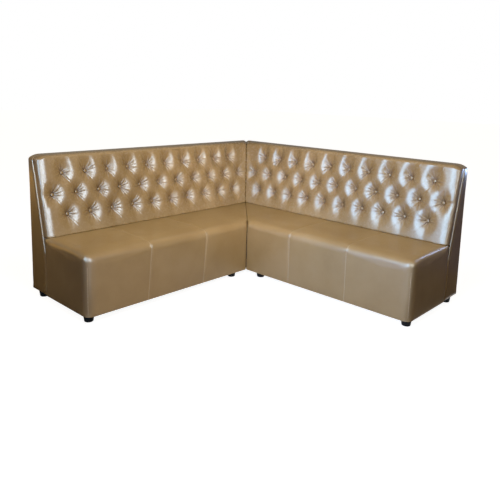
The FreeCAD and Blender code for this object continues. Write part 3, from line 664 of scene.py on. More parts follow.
def seat_upholstery(side):
    """The padded cover of the seat, with rounded edges and two seams across it."""
    columns = seat_columns()
    rows = even_rows(SEAT_REAR, SEAT_FRONT, SEAT_GRID)
    levels = even_rows(SEAT_BOTTOM, SEAT_TOP, SEAT_GRID)
    piece = cut_box(side + "_seat_upholstery", (len(columns), len(rows), len(levels)))
    unit = read_points(piece)
    steps = np.rint(unit * (np.array([len(columns), len(rows), len(levels)]) - 1)).astype(int)
    along, depth, height = columns[steps[:, 0]], rows[steps[:, 1]], levels[steps[:, 2]]

    # The inner strip runs from the mitre to the first seam, so its columns fan out from the mitre.
    anchor = SEAT_SEAMS[0] - 2 * SEAM_STEPS[-1]
    mitre = depth + MITRE_CLEAR
    fan = (anchor - mitre) / (anchor - columns[0])
    from_mitre = np.where(along < anchor, (along - columns[0]) * fan, 1.0)
    along = np.where(along < anchor, anchor - (anchor - along) * fan, along)

    # The front edge is rounded, then the edges round the outer end and the mitre.
    front_gap, top_gap = SEAT_FRONT - depth, SEAT_TOP - height
    inward = np.minimum(front_gap, top_gap)
    front_new, top_new = rounded_corner(front_gap, top_gap, SEAT_FRONT_ROUND)
    in_arc = (front_gap < SEAT_FRONT_ROUND) & (top_gap < SEAT_FRONT_ROUND)
    to_front, to_top = SEAT_FRONT_ROUND - front_new, SEAT_FRONT_ROUND - top_new
    reach = np.maximum(np.hypot(to_front, to_top), 1e-9)
    step_front = np.where(in_arc, to_front / reach, np.where(front_gap < top_gap, 1.0, 0.0))
    step_top = np.where(in_arc, to_top / reach, np.where(front_gap < top_gap, 0.0, 1.0))
    end_round = SEAT_END_ROUND + (SEAT_CORNER_ROUND - SEAT_END_ROUND) * step_front
    rear_ease = smoothstep((depth - SEAT_REAR) / SEAT_REAR_RUN)
    end_round = end_round * (SEAT_REAR_SHARE + (1.0 - SEAT_REAR_SHARE) * rear_ease)
    end_gap, deeper = rounded_corner(WING_END - along, inward, end_round)
    mitre_gap, deeper_mitre = rounded_corner(from_mitre, inward, SEAT_MITRE_ROUND)
    front_new += step_front * (deeper + deeper_mitre - 2 * inward)
    top_new += step_top * (deeper + deeper_mitre - 2 * inward)
    along = np.where(end_gap != WING_END - along, WING_END - end_gap, along + mitre_gap - from_mitre)
    depth = SEAT_FRONT - front_new
    drop = SEAT_FRONT_DROP * smoothstep((depth - (SEAT_FRONT - SEAT_DROP_RUN)) / SEAT_DROP_RUN)
    above = smoothstep((SEAT_TOP - top_new - SEAT_BOTTOM) / (SEAT_TOP - SEAT_BOTTOM) * 1.6 - 0.6)
    height = SEAT_TOP - top_new - drop * above
    points = np.column_stack((along, depth, height))
    between = np.interp(along, (SEAT_FRONT, *SEAT_SEAMS, WING_END - 0.05), (0.0, 1.0, 1.0, 0.0))
    points[:, 0] += seam_lean(side, points) * between
    write_points(piece, points)

    # The filling swells the top, front and end between the seams.
    on_rear, on_bottom, on_mitre = steps[:, 1] == 0, steps[:, 2] == 0, steps[:, 0] == 0
    on_seam = np.isin(steps[:, 0], [int(np.argmin(np.abs(columns - seam))) for seam in SEAT_SEAMS])
    puff(piece, on_rear | on_bottom | on_mitre | on_seam, pressure=2.0, cap=SEAT_SWELL, frames=14)

    # The seams are drawn in after the swelling.
    points, normals = read_points(piece), read_normals(piece)
    rise = np.zeros(len(points))
    for seam in SEAT_SEAMS:
        off = points[:, 0] - seam - seam_lean(side, points)
        for lift, place, width in SEAM_PARTS:
            rise += lift * np.exp(-((off - place) / width) ** 2)
    shown = (steps[:, 2] > 0) & ~on_rear & ~on_mitre
    write_points(piece, points + normals * (rise * shown)[:, None])

    # The foot is open, where the cover is tacked under the seat box, and so is the mitre below the foam.
    centres = face_centres(piece)
    below_foam = (centres[:, 0] < centres[:, 1] + 0.004) & (centres[:, 2] < DECK_TOP)
    pick(piece, "FACE", (centres[:, 2] < SEAT_BOTTOM + 1e-4) | below_foam)
    bpy.ops.mesh.delete(type="FACE")
    put_down()
    outer = len(piece.data.vertices)
    add_wall(piece, SEAT_PADDING)
    points = read_points(piece)
    inside = np.arange(len(points)) >= outer
    inner_top = SEAT_TOP - SEAT_PADDING
    share = np.clip((points[:, 2] - SEAT_BOTTOM) / (inner_top - SEAT_BOTTOM), 0.0, 1.0)
    points[inside, 2] = (SEAT_BOTTOM + share * (DECK_TOP + DECK_CLEAR - SEAT_BOTTOM))[inside]
    write_points(piece, points)
    # A painted highlight in a pale band along the raised fold beside each seam
    painted_highlight = np.zeros(len(points))
    for seam in SEAT_SEAMS:
        off = points[:, 0] - seam - seam_lean(side, points)
        painted_highlight += np.exp(-((off - SEAM_HIGHLIGHT_OFF) / SEAM_HIGHLIGHT_WIDTH) ** 2)
    paint_points(piece, "painted_highlight", np.where(inside, 0.0, SEAM_HIGHLIGHT * painted_highlight))
    smooth(piece, 60.0)
    hand_over(piece, side, SEAT_LEATHERETTE, "leatherette", "seat_cover", "seat_foam")


# The buttoned back

def board_depth(height):
    """Depth of the face of the leaning board at a height."""
    return BACK_BASE - (height - SLANT_START) * TAN_LEAN


ROW_DEPTH = board_depth(ROW_HEIGHT)
LINE_GAP = BUTTON_PITCH * ROW_SPACING / math.hypot(BUTTON_PITCH / 2, ROW_SPACING)
LAST_BUTTON = FIRST_BUTTON + BUTTON_PITCH * (BUTTONS_IN_ROW - 1)


def back_point(along, up, out):
    """Points of the leaning back: along the wing, up the slope from the middle row, out from the board."""
    return np.column_stack((
        along,
        ROW_DEPTH - up * SIN_LEAN + out * COS_LEAN,
        ROW_HEIGHT + up * COS_LEAN + out * SIN_LEAN,
    ))


def back_measures(points):
    """The same measures read back from points."""
    depth, height = points[:, 1] - ROW_DEPTH, points[:, 2] - ROW_HEIGHT
    return points[:, 0], height * COS_LEAN - depth * SIN_LEAN, depth * COS_LEAN + height * SIN_LEAN


def top_dip(points):
    """How far the top of the back sinks at these points, towards its outer end and towards the mitre."""
    to_end = np.clip(1.0 - (WING_END - points[:, 0]) / END_DIP_RUN, 0.0, 1.0)
    to_mitre = np.clip(1.0 - (points[:, 0] - points[:, 1]) / MITRE_DIP_RUN, 0.0, 1.0)
    fade = smoothstep((points[:, 2] - DIP_START) / (PAD_TOP - DIP_START))
    return fade * (END_DIP * to_end ** 2.2 + MITRE_DIP * to_mitre ** 2.2)


def button_places():
    """Along and up measures of the three staggered rows of buttons."""
    places = []
    for row in (-1, 0, 1):
        shift = 0.5 * abs(row)
        for number in range(BUTTONS_IN_ROW - abs(row)):
            places.append((FIRST_BUTTON + BUTTON_PITCH * (number + shift), ROW_SPACING * row))
    return places


def near_buttons(along, up, reach):
    """Which points lie within reach of a button."""
    near = np.zeros(len(along), dtype=bool)
    for place_along, place_up in button_places():
        near |= np.hypot(along - place_along, up - place_up) < reach
    return near


def between_ends(along, reach, run):
    """1 among the buttons, fading out past the first and the last one."""
    return smoothstep((along - FIRST_BUTTON + reach) / run) * smoothstep((LAST_BUTTON + reach - along) / run)


def lattice(along, up):
    """How far a point lies along the two families of diagonals that join the buttons."""
    across, row = (along - FIRST_BUTTON) / BUTTON_PITCH, up / ROW_SPACING
    return across + row / 2, across - row / 2, row


def tuft_depth(along, up):
    """How far the back is drawn in, from 0 on a crown to 1 on a button."""
    left = np.ones(len(along))
    for place_along, place_up in button_places():
        away = np.hypot(along - place_along, (up - place_up) * TUFT_HEIGHT)
        share = np.clip((away - TUFT_START) / (TUFT_REACH - TUFT_START), 0.0, 1.0)
        pit = np.exp(-np.maximum(away - TUFT_START, 0.0) / TUFT_PIT_RUN)
        left *= 1.0 - TUFT_BOWL * (1.0 - share) ** 2 - TUFT_PIT * pit

    # Shallow valleys along the diagonals between the buttons
    rising, falling, row = lattice(along, up)
    inside_rows = 1.0 - smoothstep((np.abs(row) - 0.95) / 0.8)
    inside = inside_rows * between_ends(along, 0.10, 0.06)
    for lines, other, deep in ((rising, falling, RISING_VALLEY), (falling, rising, FALLING_VALLEY)):
        off = np.hypot((lines - np.rint(lines)) * LINE_GAP, VALLEY_ROUND)
        middle = 1.0 - np.abs(2.0 * (other - np.floor(other)) - 1.0)
        left *= 1.0 - deep * (1.0 - 0.5 * middle) * inside * np.exp(-off / VALLEY_WIDTH)

    # A wide fold runs up from each button of the top row, and a shallow one down from the bottom row
    beyond = np.maximum(np.abs(row) - 1.0, 0.0) * ROW_SPACING
    column = (along - FIRST_BUTTON) / BUTTON_PITCH - 0.5
    nearest = np.clip(np.rint(column), 0, BUTTONS_IN_ROW - 2)
    off = np.abs(column - nearest) * BUTTON_PITCH
    upper = UPPER_FOLD * (1.0 - smoothstep((off - 0.020) / 0.045)) * (1.0 - 0.75 * smoothstep(beyond / 0.115))
    lower = LOWER_FOLD * np.exp(-np.hypot(off, 0.016) / 0.030) * (1.0 - 0.5 * smoothstep(beyond / 0.130))
    left *= 1.0 - np.where(row > 0.0, upper, lower) * smoothstep(beyond / 0.02)

    # One fold from each end button of the middle row out to the end of the pad
    past_end = np.maximum(along - LAST_BUTTON, FIRST_BUTTON - along)
    outwards = np.where(past_end > 0.0, np.exp(-np.maximum(past_end, 0.0) / 0.12), 0.0)
    outwards *= smoothstep(past_end / 0.02)
    left *= 1.0 - SIDE_FOLD * outwards * np.exp(-np.hypot(up, 0.0015) / 0.020)
    return 1.0 - left


def edge_round(run, size, rise):
    """Inset and rise along a rounded edge, for a run measured over the surface from the edge."""
    arc = math.pi / 2 * math.sqrt((size * size + rise * rise) / 2)
    turn = np.clip(run / arc, 0.0, 1.0) * math.pi / 2
    inset = np.where(run < arc, size * (1.0 - np.cos(turn)), size + run - arc)
    return inset, np.sin(turn), arc


def wall_round(run, size, rise):
    """The same along an edge with an upright wall and a small round above it."""
    wall = rise - size
    arc = wall + size * math.pi / 2
    turn = np.clip((run - wall) / size, 0.0, math.pi / 2)
    inset = np.where(run < arc, size * (1.0 - np.cos(turn)), size + run - arc)
    return inset, np.where(run < wall, run, wall + size * np.sin(turn)) / rise, arc


def end_roll(inset):
    """Rise of the pad at a distance from its outer end: a round edge with a long easy shoulder behind it."""
    edge, shoulder = 1.0 - np.clip(inset / END_EDGE, 0.0, 1.0), 1.0 - np.clip(inset / END_SHOULDER, 0.0, 1.0)
    return END_LIP + END_EDGE_RISE * np.sqrt(1.0 - edge ** 2) + END_SHOULDER_RISE * (1.0 - shoulder ** 2)


def pad_sheet(side):
    """The padded sheet of the back, rounded at its edges and drawn in at the buttons."""
    rise = PAD_CROWN - PAD_WALL
    mitre_cut, edge_extra = 0.18, 0.03
    height = (PAD_TOP - PAD_BOTTOM) / COS_LEAN
    columns, rows = int((WING_END - mitre_cut) / PAD_GRID), int((height + edge_extra) / PAD_GRID)
    clear_selection()
    bpy.ops.mesh.primitive_grid_add(x_subdivisions=columns, y_subdivisions=rows, size=1.0)
    piece = named(side + "_tufted_back")
    unit = read_points(piece) + 0.5
    top_size, bottom_size, end_size, mitre_size = 0.022, 0.004, 0.060, 0.004

    # Up the slope
    arc_top = edge_round(np.zeros(1), top_size, rise)[2]
    arc_bottom = wall_round(np.zeros(1), bottom_size, rise)[2]
    whole = height - top_size - bottom_size + arc_top + arc_bottom
    run = unit[:, 1] * whole
    low_inset, low_rise, _ = wall_round(run, bottom_size, rise)
    high_inset, high_rise, _ = edge_round(whole - run, top_size, rise)
    level = np.where(run < whole / 2, low_inset, height - high_inset)
    upright = PAD_BOTTOM + level * COS_LEAN
    up_rise = low_rise * high_rise

    # Along the wing, from the mitre to the outer end
    start = board_depth(upright) + PAD_CROWN / COS_LEAN + PAD_MITRE_CLEAR
    arc_mitre = wall_round(np.zeros(1), mitre_size, rise)[2]
    arc_end = edge_round(np.zeros(1), end_size, rise)[2]
    whole = PAD_END - start - mitre_size - end_size + arc_mitre + arc_end
    run = unit[:, 0] * whole
    near_inset, near_rise, _ = wall_round(run, mitre_size, rise)
    far_inset = edge_round(whole - run, end_size, rise)[0]
    along = np.where(run < whole / 2, start + near_inset, PAD_END - far_inset)
    along_rise = near_rise * end_roll(PAD_END - along)

    # Out from the board, drawn in at the buttons. The rows follow the slope, so the height is found in steps.
    out = np.full(len(along), PAD_CROWN)
    for _ in range(4):
        up = (upright - ROW_HEIGHT - out * SIN_LEAN) / COS_LEAN
        crown = PAD_CROWN - (PAD_CROWN - BUTTON_FLOOR) * tuft_depth(along, up)
        out = PAD_WALL + (crown - PAD_WALL) * up_rise * along_rise
    along = along - (PAD_CROWN - out) / COS_LEAN * (1.0 - smoothstep(near_inset / mitre_size))
    points = back_point(along, up, out)
    points[:, 2] -= top_dip(points)
    write_points(piece, points)
    return piece


def random_gathers(seed):
    """For every button, the angles, lengths and depths of the gathers that run out from it."""
    dice = np.random.default_rng(seed)
    gathers = []
    for place_along, place_up in button_places():
        count = int(dice.integers(*GATHER_COUNT))
        turn = dice.uniform(0.0, 2 * math.pi)
        for number in range(count):
            wander = dice.uniform(-GATHER_WANDER, GATHER_WANDER)
            reach, depth = dice.uniform(*GATHER_REACH), dice.uniform(*GATHER_DEPTH)
            angle = turn + 2 * math.pi * (number + wander) / count
            gathers.append((place_along, place_up, angle, reach, depth))
    return gathers


def fold_lines(piece, seed):
    """Presses pleats and gathers into the sheet, and gives the painted shade of each of its points."""
    points, normals = read_points(piece), read_normals(piece)
    along, up, out = back_measures(points)
    press = np.zeros(len(points))
    for place_along, place_up, angle, reach, depth in random_gathers(seed):
        right, rise = along - place_along, up - place_up
        away = right * math.cos(angle) + rise * math.sin(angle)
        side_step = rise * math.cos(angle) - right * math.sin(angle)
        near = (away > 0.004) & (away < reach * 1.5) & (np.abs(side_step) < 0.02)
        away, side_step = away[near], side_step[near]
        fade = smoothstep((away - GATHER_START) / GATHER_RISE)
        fade *= 1.0 - smoothstep((away - 0.4 * reach) / reach)
        line = np.exp(-(side_step / (GATHER_WIDTH + GATHER_FAN * away)) ** 2)
        press[near] += GATHER_PRESS * depth * fade * line

    rising, falling, row = lattice(along, up)
    ends = between_ends(along, 0.06, 0.05)
    for lines, other, (depth, reach) in ((falling, rising, FALLING_PLEAT), (rising, falling, RISING_PLEAT)):
        off = (lines - np.rint(lines)) * LINE_GAP
        near_button = np.abs(2.0 * (other - np.floor(other)) - 1.0)
        in_rows = 1.0 - smoothstep((np.abs(row) - reach + 0.3) / 0.3)
        fade = ends * in_rows * (0.25 + 0.75 * near_button ** 1.5)
        press += depth * fade * np.exp(-(off / PLEAT_WIDTH) ** 2)
        press -= PLEAT_LIP * depth * fade * np.exp(-((off - PLEAT_LIP_OFF) / PLEAT_LIP_WIDTH) ** 2)
    write_points(piece, points - normals * press[:, None])

    # Painted shade, darker towards the bottom of each fold and each tuft
    dark = np.clip(press / FULL_FOLD, 0.0, 1.0) * FOLD_SHADE
    pit = np.clip((PIT_RIM - out) / (PIT_RIM - BUTTON_FLOOR), 0.0, 1.0) ** 1.3
    inner = smoothstep((out - PAD_WALL) / 0.012)
    return np.clip(dark + PIT_SHADE * pit * inner, 0.0, DARKEST_SHADE)


def refine_folds(piece):
    """Cuts the faces round the buttons and along the falling pleats once more, for their fine folds."""
    along, up, _ = back_measures(face_centres(piece))
    falling = lattice(along, up)[1]
    on_pleat = np.abs(falling - np.rint(falling)) * LINE_GAP < 0.008
    pick(piece, "FACE", near_buttons(along, up, 0.060) | on_pleat)
    bpy.ops.mesh.subdivide(number_cuts=1, smoothness=1.0)
    put_down()


def close_pad(piece):
    """Gives the sheet its side walls and its flat back on the board."""
    take(piece)
    bpy.ops.object.mode_set(mode="EDIT")
    bpy.ops.mesh.select_mode(type="EDGE")
    bpy.ops.mesh.select_all(action="DESELECT")
    bpy.ops.mesh.select_non_manifold(
        extend=False, use_wire=False, use_multi_face=False, use_non_contiguous=False, use_verts=False)
    bpy.ops.mesh.extrude_edges_move()
    put_down()
    points = read_points(piece)
    wall = np.empty(len(points), dtype=bool)
    piece.data.vertices.foreach_get("select", wall)
    along, upright = points[:, 0], points[:, 2]
    depth = board_depth(upright)
    near_mitre = along < points[:, 1] + 0.006
    foot = np.column_stack((np.where(near_mitre, depth + PAD_MITRE_CLEAR, along), depth, upright))
    points[wall] = foot[wall]
    write_points(piece, points)
    bpy.ops.object.mode_set(mode="EDIT")
    bpy.ops.mesh.edge_face_add()
    put_down()
    outward(piece)


def tufted_back(side):
    """The buttoned back: a padded sheet, swollen, folded and closed behind."""
    piece = pad_sheet(side)
    along, up, out = back_measures(read_points(piece))
    held = near_buttons(along, up, 0.0095) | (out < PAD_WALL + 0.004)
    puff(piece, held, pressure=1.0, cap=PAD_SWELL, frames=10)
    subdivide_once(piece)
    refine_folds(piece)
    fold_shade = fold_lines(piece, SEEDS[side])
    close_pad(piece)
    # The painted shade of the folds and pits goes to the finish
    paint_points(piece, "fold_shade", np.pad(fold_shade, (0, len(piece.data.vertices) - len(fold_shade))))
    smooth(piece, 60.0)
    hand_over(piece, side, TUFTED_LEATHERETTE, "leatherette", "tufted_pad", "back_foam")


def covered_button():
    """One button: a domed cap of leatherette drawn over its rim."""
    clear_selection()
    bpy.ops.mesh.primitive_cylinder_add(
        vertices=28, radius=BUTTON_RADIUS, depth=BUTTON_BODY, location=(0, 0, BUTTON_BODY / 2))
    piece = named("covered_button")
    pick(piece, "FACE", face_centres(piece)[:, 2] > BUTTON_BODY - 1e-4)
    for inset, lift in BUTTON_DOME:
        bpy.ops.mesh.inset(thickness=inset)
        bpy.ops.transform.translate(value=(0, 0, lift))
    put_down()
    points = read_points(piece)
    turn = np.arctan2(points[:, 1], points[:, 0])
    under_rim = points[:, 2] < BUTTON_BODY - 0.001
    points[:, :2] *= (1.0 + BUTTON_PUCKER * np.cos(BUTTON_PUCKERS * turn) * under_rim)[:, None]
    write_points(piece, points)
    rim = piece.modifiers.new("rim", "BEVEL")
    rim.width = 0.0009
    rim.segments = 2
    rim.limit_method = "ANGLE"
    apply_modifiers(piece)
    return piece


def buttons(side, pattern):
    """All the buttons of a back, each a copy set about square to the slope in its own tuft."""
    dice = np.random.default_rng(SEEDS[side] + 5)
    slope = Matrix(((1, 0, 0), (0, -SIN_LEAN, COS_LEAN), (0, COS_LEAN, SIN_LEAN))).transposed().to_4x4()
    copies = []
    for place_along, place_up in button_places():
        copy = pattern.copy()
        copy.data = pattern.data.copy()
        bpy.context.collection.objects.link(copy)
        tilt_x, tilt_y = dice.uniform(-BUTTON_TILT, BUTTON_TILT), dice.uniform(-BUTTON_TILT, BUTTON_TILT)
        tilt = Matrix.Rotation(tilt_x, 4, "X") @ Matrix.Rotation(tilt_y, 4, "Y")
        spin = Matrix.Rotation(dice.uniform(0.0, 6.28), 4, "Z")
        seat = back_point(np.array([place_along]), np.array([place_up]), BUTTON_FLOOR + BUTTON_LIFT)[0]
        copy.data.transform(Matrix.Translation(Vector(seat)) @ slope @ tilt @ spin)
        copies.append(copy)
    clear_selection()
    for copy in copies:
        copy.select_set(True)
    bpy.context.view_layer.objects.active = copies[0]
    bpy.ops.object.join()
    piece = named(side + "_covered_buttons")
    smooth(piece, 50.0)
    hand_over(piece, side, BUTTON_LEATHERETTE, "button_leatherette", "buttons")


# The covers of the back

def cheek_cover(side):
    """The padded end of the back: a shaped panel with rounded edges."""
    front, top = BACK_BASE - 0.001, PAD_TOP - 0.001
    top_depth = board_depth(PAD_TOP) - 0.002
    outline = ((0.0, SEAT_BOTTOM), (front, SEAT_BOTTOM), (front, SLANT_START), (top_depth, top), (0.0, top))
    clear_selection()
    bpy.ops.mesh.primitive_circle_add(vertices=len(outline), radius=0.1, fill_type="NGON")
    piece = named(side + "_cheek_upholstery")
    write_points(piece, np.array([(CHEEK_INNER, depth, height) for depth, height in outline]))
    outward(piece)
    pick(piece, "FACE", [True])
    bpy.ops.mesh.extrude_region_move(TRANSFORM_OT_translate={"value": (CHEEK_OUTER - CHEEK_INNER, 0, 0)})
    put_down()
    starts, runs = edge_runs(piece)
    pick(piece, "EDGE", (starts[:, 0] > CHEEK_OUTER - 1e-5) & (np.abs(runs[:, 0]) < 1e-6))
    bpy.ops.mesh.bevel(offset=0.009, segments=4, profile=0.5)
    put_down()
    outward(piece)
    remesh = piece.modifiers.new("even_mesh", "REMESH")
    remesh.mode = "VOXEL"
    remesh.voxel_size = CHEEK_VOXEL
    apply_modifiers(piece)
    points = read_points(piece)
    points[:, 2] -= top_dip(points)
    write_points(piece, points)
    puff(piece, points[:, 0] < CHEEK_INNER + 0.006, pressure=3.0, cap=CHEEK_SWELL, frames=14)
    smooth(piece, 180.0)
    hand_over(piece, side, LEATHERETTE, "leatherette", "cheek_cover")


def cheek_bead(side):
    """The rolled bead along the slanted edge of the cheek."""
    low, high = SLANT_START + 0.004, PAD_TOP - 0.006
    clear_selection()
    bpy.ops.mesh.primitive_cylinder_add(vertices=20, radius=BEAD_RADIUS, depth=1.0, location=(0, 0, 0.5))
    piece = named(side + "_cheek_bead")
    cut_along(piece, 2, 90)
    points = read_points(piece)
    share = points[:, 2].copy()
    end = np.minimum(share, 1.0 - share) / 0.03
    swell = np.sqrt(np.clip(1.0 - (1.0 - np.clip(end, 0.0, 1.0)) ** 2, 0.05, 1.0))
    swell *= 1.0 + 0.03 * np.sin(share * 47.0) * np.sin(share * 19.0 + 1.0)
    height = low + share * (high - low)
    points[:, 0] = WING_END - 0.0040 + points[:, 0] * swell
    points[:, 1] = board_depth(height) - 0.007 + points[:, 1] * swell
    points[:, 2] = height
    points[:, 2] -= top_dip(points)
    write_points(piece, points)
    # The bead is painted paler all over as a painted highlight
    paint_points(piece, "painted_highlight", np.full(len(points), BEAD_HIGHLIGHT[side]))
    smooth(piece, 60.0)
    hand_over(piece, side, SEAT_LEATHERETTE, "leatherette")


def rear_cover(side):
    """The outside back: one sheet pulled over the rear frame and turned over the top rail."""
    drop, top_depth = PAD_TOP - SEAT_BOTTOM, board_depth(PAD_TOP)
    clear_selection()
    bpy.ops.mesh.primitive_grid_add(x_subdivisions=150, y_subdivisions=84, size=1.0)
    piece = named(side + "_rear_upholstery")
    unit = read_points(piece) + 0.5
    arc, upright = REAR_FOLD * math.pi / 2, drop - REAR_FOLD
    run = unit[:, 1] * (upright + arc + top_depth - REAR_FOLD)
    turn = np.clip((run - upright) / arc, 0.0, 1.0) * math.pi / 2
    height = np.where(run < upright, SEAT_BOTTOM + run, PAD_TOP - REAR_FOLD + REAR_FOLD * np.sin(turn))
    depth = np.where(run < upright, 0.0, REAR_FOLD - REAR_FOLD * np.cos(turn))
    depth = depth + np.maximum(run - upright - arc, 0.0)
    start = depth + MITRE_CLEAR
    along = start + unit[:, 0] * (REAR_END - start)
    flat = smoothstep((PAD_TOP - height) / 0.05) * smoothstep((height - SEAT_BOTTOM) / 0.05)
    ripple = np.sin(along * 8.3 + 1.3 * np.sin(height * 5.0)) * np.sin(height * 4.1 + 0.6)
    depth = depth - REAR_RIPPLE * flat * (1.0 + ripple)
    points = np.column_stack((along, depth, height))
    points[:, 2] -= top_dip(points)
    write_points(piece, points)
    thicken(piece, (0, -1, 0), REAR_THICK)
    smooth(piece, 60.0)
    hand_over(piece, side, LEATHERETTE, "leatherette", "rear_cover")


# The lining cloths

def flat_sheet(name, corners):
    """A flat sheet with these corners, cut into a grid."""
    clear_selection()
    bpy.ops.mesh.primitive_circle_add(vertices=len(corners), radius=0.1, fill_type="NGON")
    piece = named(name)
    points = np.array(corners)
    write_points(piece, points)
    for axis in range(3):
        low, high = points[:, axis].min(), points[:, axis].max()
        across = Vector([1.0 if number == axis else 0.0 for number in range(3)])
        for place in even_rows(low, high, LINING_GRID)[1:-1]:
            pick(piece, "FACE", np.ones(len(piece.data.polygons), dtype=bool))
            bpy.ops.mesh.bisect(plane_co=across * place, plane_no=across)
            put_down()
    return piece


def punch(piece, place, axis, radius):
    """Cuts a round hole through a sheet."""
    clear_selection()
    bpy.ops.mesh.primitive_cylinder_add(vertices=40, radius=radius, depth=0.04)
    punch_bar = named("punch")
    turn = Vector(axis).to_track_quat("Z", "Y").to_matrix().to_4x4()
    punch_bar.data.transform(Matrix.Translation(Vector(place)) @ turn)
    hole = piece.modifiers.new("hole", "BOOLEAN")
    hole.operation = "DIFFERENCE"
    hole.object = punch_bar
    apply_modifiers(piece)
    bpy.data.objects.remove(punch_bar)


def mitre_lining(side):
    """Lining cloth tacked over the frame on the face where the modules meet."""
    face, rear, front = 0.0016, LINING_REAR, LINING_FRONT
    low, high = SEAT_BOTTOM + 0.0015, PAD_TOP - 0.002 - MITRE_DIP
    deck_depth, top_depth = board_depth(DECK_TOP), board_depth(high)
    seat_edge = ((rear, low), (front, low), (front, DECK_TOP))
    outline = (*seat_edge, (deck_depth, DECK_TOP), (top_depth, high), (rear, high))
    corners = [(depth + face, depth, height) for depth, height in outline]
    piece = flat_sheet(side + "_mitre_lining_cloth", corners)
    thicken(piece, (-1, 1, 0), LINING_THICK)
    for depth in PIN_DEPTHS:
        punch(piece, (depth + face, depth, PIN_HEIGHT), (1, -1, 0), PIN_HOLE)
    smooth(piece, 40.0)
    hand_over(piece, side, LINING, "lining_cloth", "mitre_lining")


def dust_cover(side):
    """Cloth stapled under the module, slack between its boards, with a hole round each foot."""
    low, rear, front, end = SEAT_BOTTOM, LINING_REAR, LINING_FRONT, WING_END - 0.015
    corners = [(rear + MITRE_CLEAR, rear), (end, rear), (end, front), (front + MITRE_CLEAR, front)]
    piece = flat_sheet(side + "_dust_cloth", [(along, depth, low) for along, depth in corners])
    points = read_points(piece)
    along, depth = points[:, 0], points[:, 1]
    edge = np.minimum.reduce((along - depth, end - along, depth - rear, front - depth))
    ripple = 1.0 + 0.5 * np.sin(along * 9.0) * np.sin(depth * 13.0 + 1.0)
    points[:, 2] -= 0.0022 * ripple * smoothstep((edge - 0.02) / 0.10)
    write_points(piece, points)
    thicken(piece, (0, 0, -1), LINING_THICK)
    for foot_along, foot_depth in FOOT_PLACES:
        punch(piece, (foot_along, foot_depth, low), (0, 0, 1), FOOT_HOLE)
    smooth(piece, 40.0)
    hand_over(piece, side, LINING, "lining_cloth", "dust_cover")


finish_cad_nodes()
BUTTON = covered_button()
for module in SIDES:
    seat_upholstery(module)
    tufted_back(module)
    buttons(module, BUTTON)
    cheek_cover(module)
    cheek_bead(module)
    rear_cover(module)
    mitre_lining(module)
    dust_cover(module)
bpy.data.objects.remove(BUTTON)


# The room: a white floor and backdrop, soft lamps, and screens that only the gloss shows

WHITE = (1.0, 1.0, 1.0, 1.0)
BLACK = (0.0, 0.0, 0.0, 1.0)
WARM_FILL, FILL_STRENGTH = (1.0, 0.80, 0.54, 1.0), 0.175
FLOOR_PAINT, FLOOR_GLOW = (0.40, 0.36, 0.31, 1.0), 0.95
FLOOR_SIZE, FLOOR_HEIGHT = 60.0, -0.0005
MAT_HEIGHT = 0.002

# What each lamp lights, its place, aim, width and height, power, colour and spread
LAMPS = {
    "ceiling_softbox": (
        "body", (0.75, -0.75, 2.30), (-0.40, 0.40, 0.45), (1.5, 1.2), 58.5, (1.0, 0.97, 0.92), 180.0),
    "cool_window": (
        "gloss", (1.15, -4.2, 2.8), (1.35, 0.86, 0.75), (4.7, 4.4), 690.0, (0.36, 0.64, 1.0), 120.0),
    "pale_window": (
        "gloss", (4.3, -2.6, 2.8), (-0.9, -2.6, 0.75), (4.2, 4.4), 450.0, (0.60, 0.79, 1.0), 100.0),
    "side_window": (
        "body", (0.60, -0.98, 0.58), (0.66, 0.34, 0.46), (1.2, 0.4), 8.8, (0.22, 0.42, 1.0), 100.0),
    "corner_window": (
        "body", (0.55, -0.55, 0.88), (-0.85, 0.85, 0.80), (0.7, 0.4), 3.2, (0.82, 0.76, 0.80), 70.0),
    "corner_glint": (
        "gloss", (4.3, 0.35, 2.0), (-0.86, 0.70, 0.80), (1.2, 1.8), 5.5, (0.72, 0.86, 1.0), 30.0),
    "rear_window": (
        "gloss", (1.31, 1.62, 0.97), (1.05, 0.55, 0.45), (0.22, 0.22), 4.5, (0.42, 0.60, 1.0), 180.0),
    "left_fill": (
        "body", (-1.05, -1.90, 1.25), (-0.97, -1.075, 0.75), (0.4, 0.4), 0.40, (1.0, 0.86, 0.70), 70.0),
}

CAMERA_PLACE = (2.5368, -2.7235, 1.4585)
CAMERA_AZIMUTH, CAMERA_PITCH, CAMERA_ROLL = math.radians(42.979), math.radians(9.179), math.radians(1.596)
CAMERA_SENSOR, CAMERA_LENS = 36.0, 39.17
CAMERA_SHIFT = (-0.001, -0.1403)


def studio_world():
    """A low warm light all round, in front of a white backdrop."""
    world = bpy.data.worlds.new("studio")
    world.use_nodes = True
    bpy.context.scene.world = world
    nodes = Nodes(world.node_tree)
    nodes.tree.nodes.clear()
    soft = nodes.add("ShaderNodeBackground", Color=WARM_FILL, Strength=FILL_STRENGTH)
    white = nodes.add("ShaderNodeBackground", Color=WHITE, Strength=1.0)
    out = nodes.add("ShaderNodeOutputWorld")
    light = nodes.mix_shaders(nodes.sees_backdrop(), soft.outputs[0], white.outputs[0])
    nodes.join(light, out.inputs["Surface"])


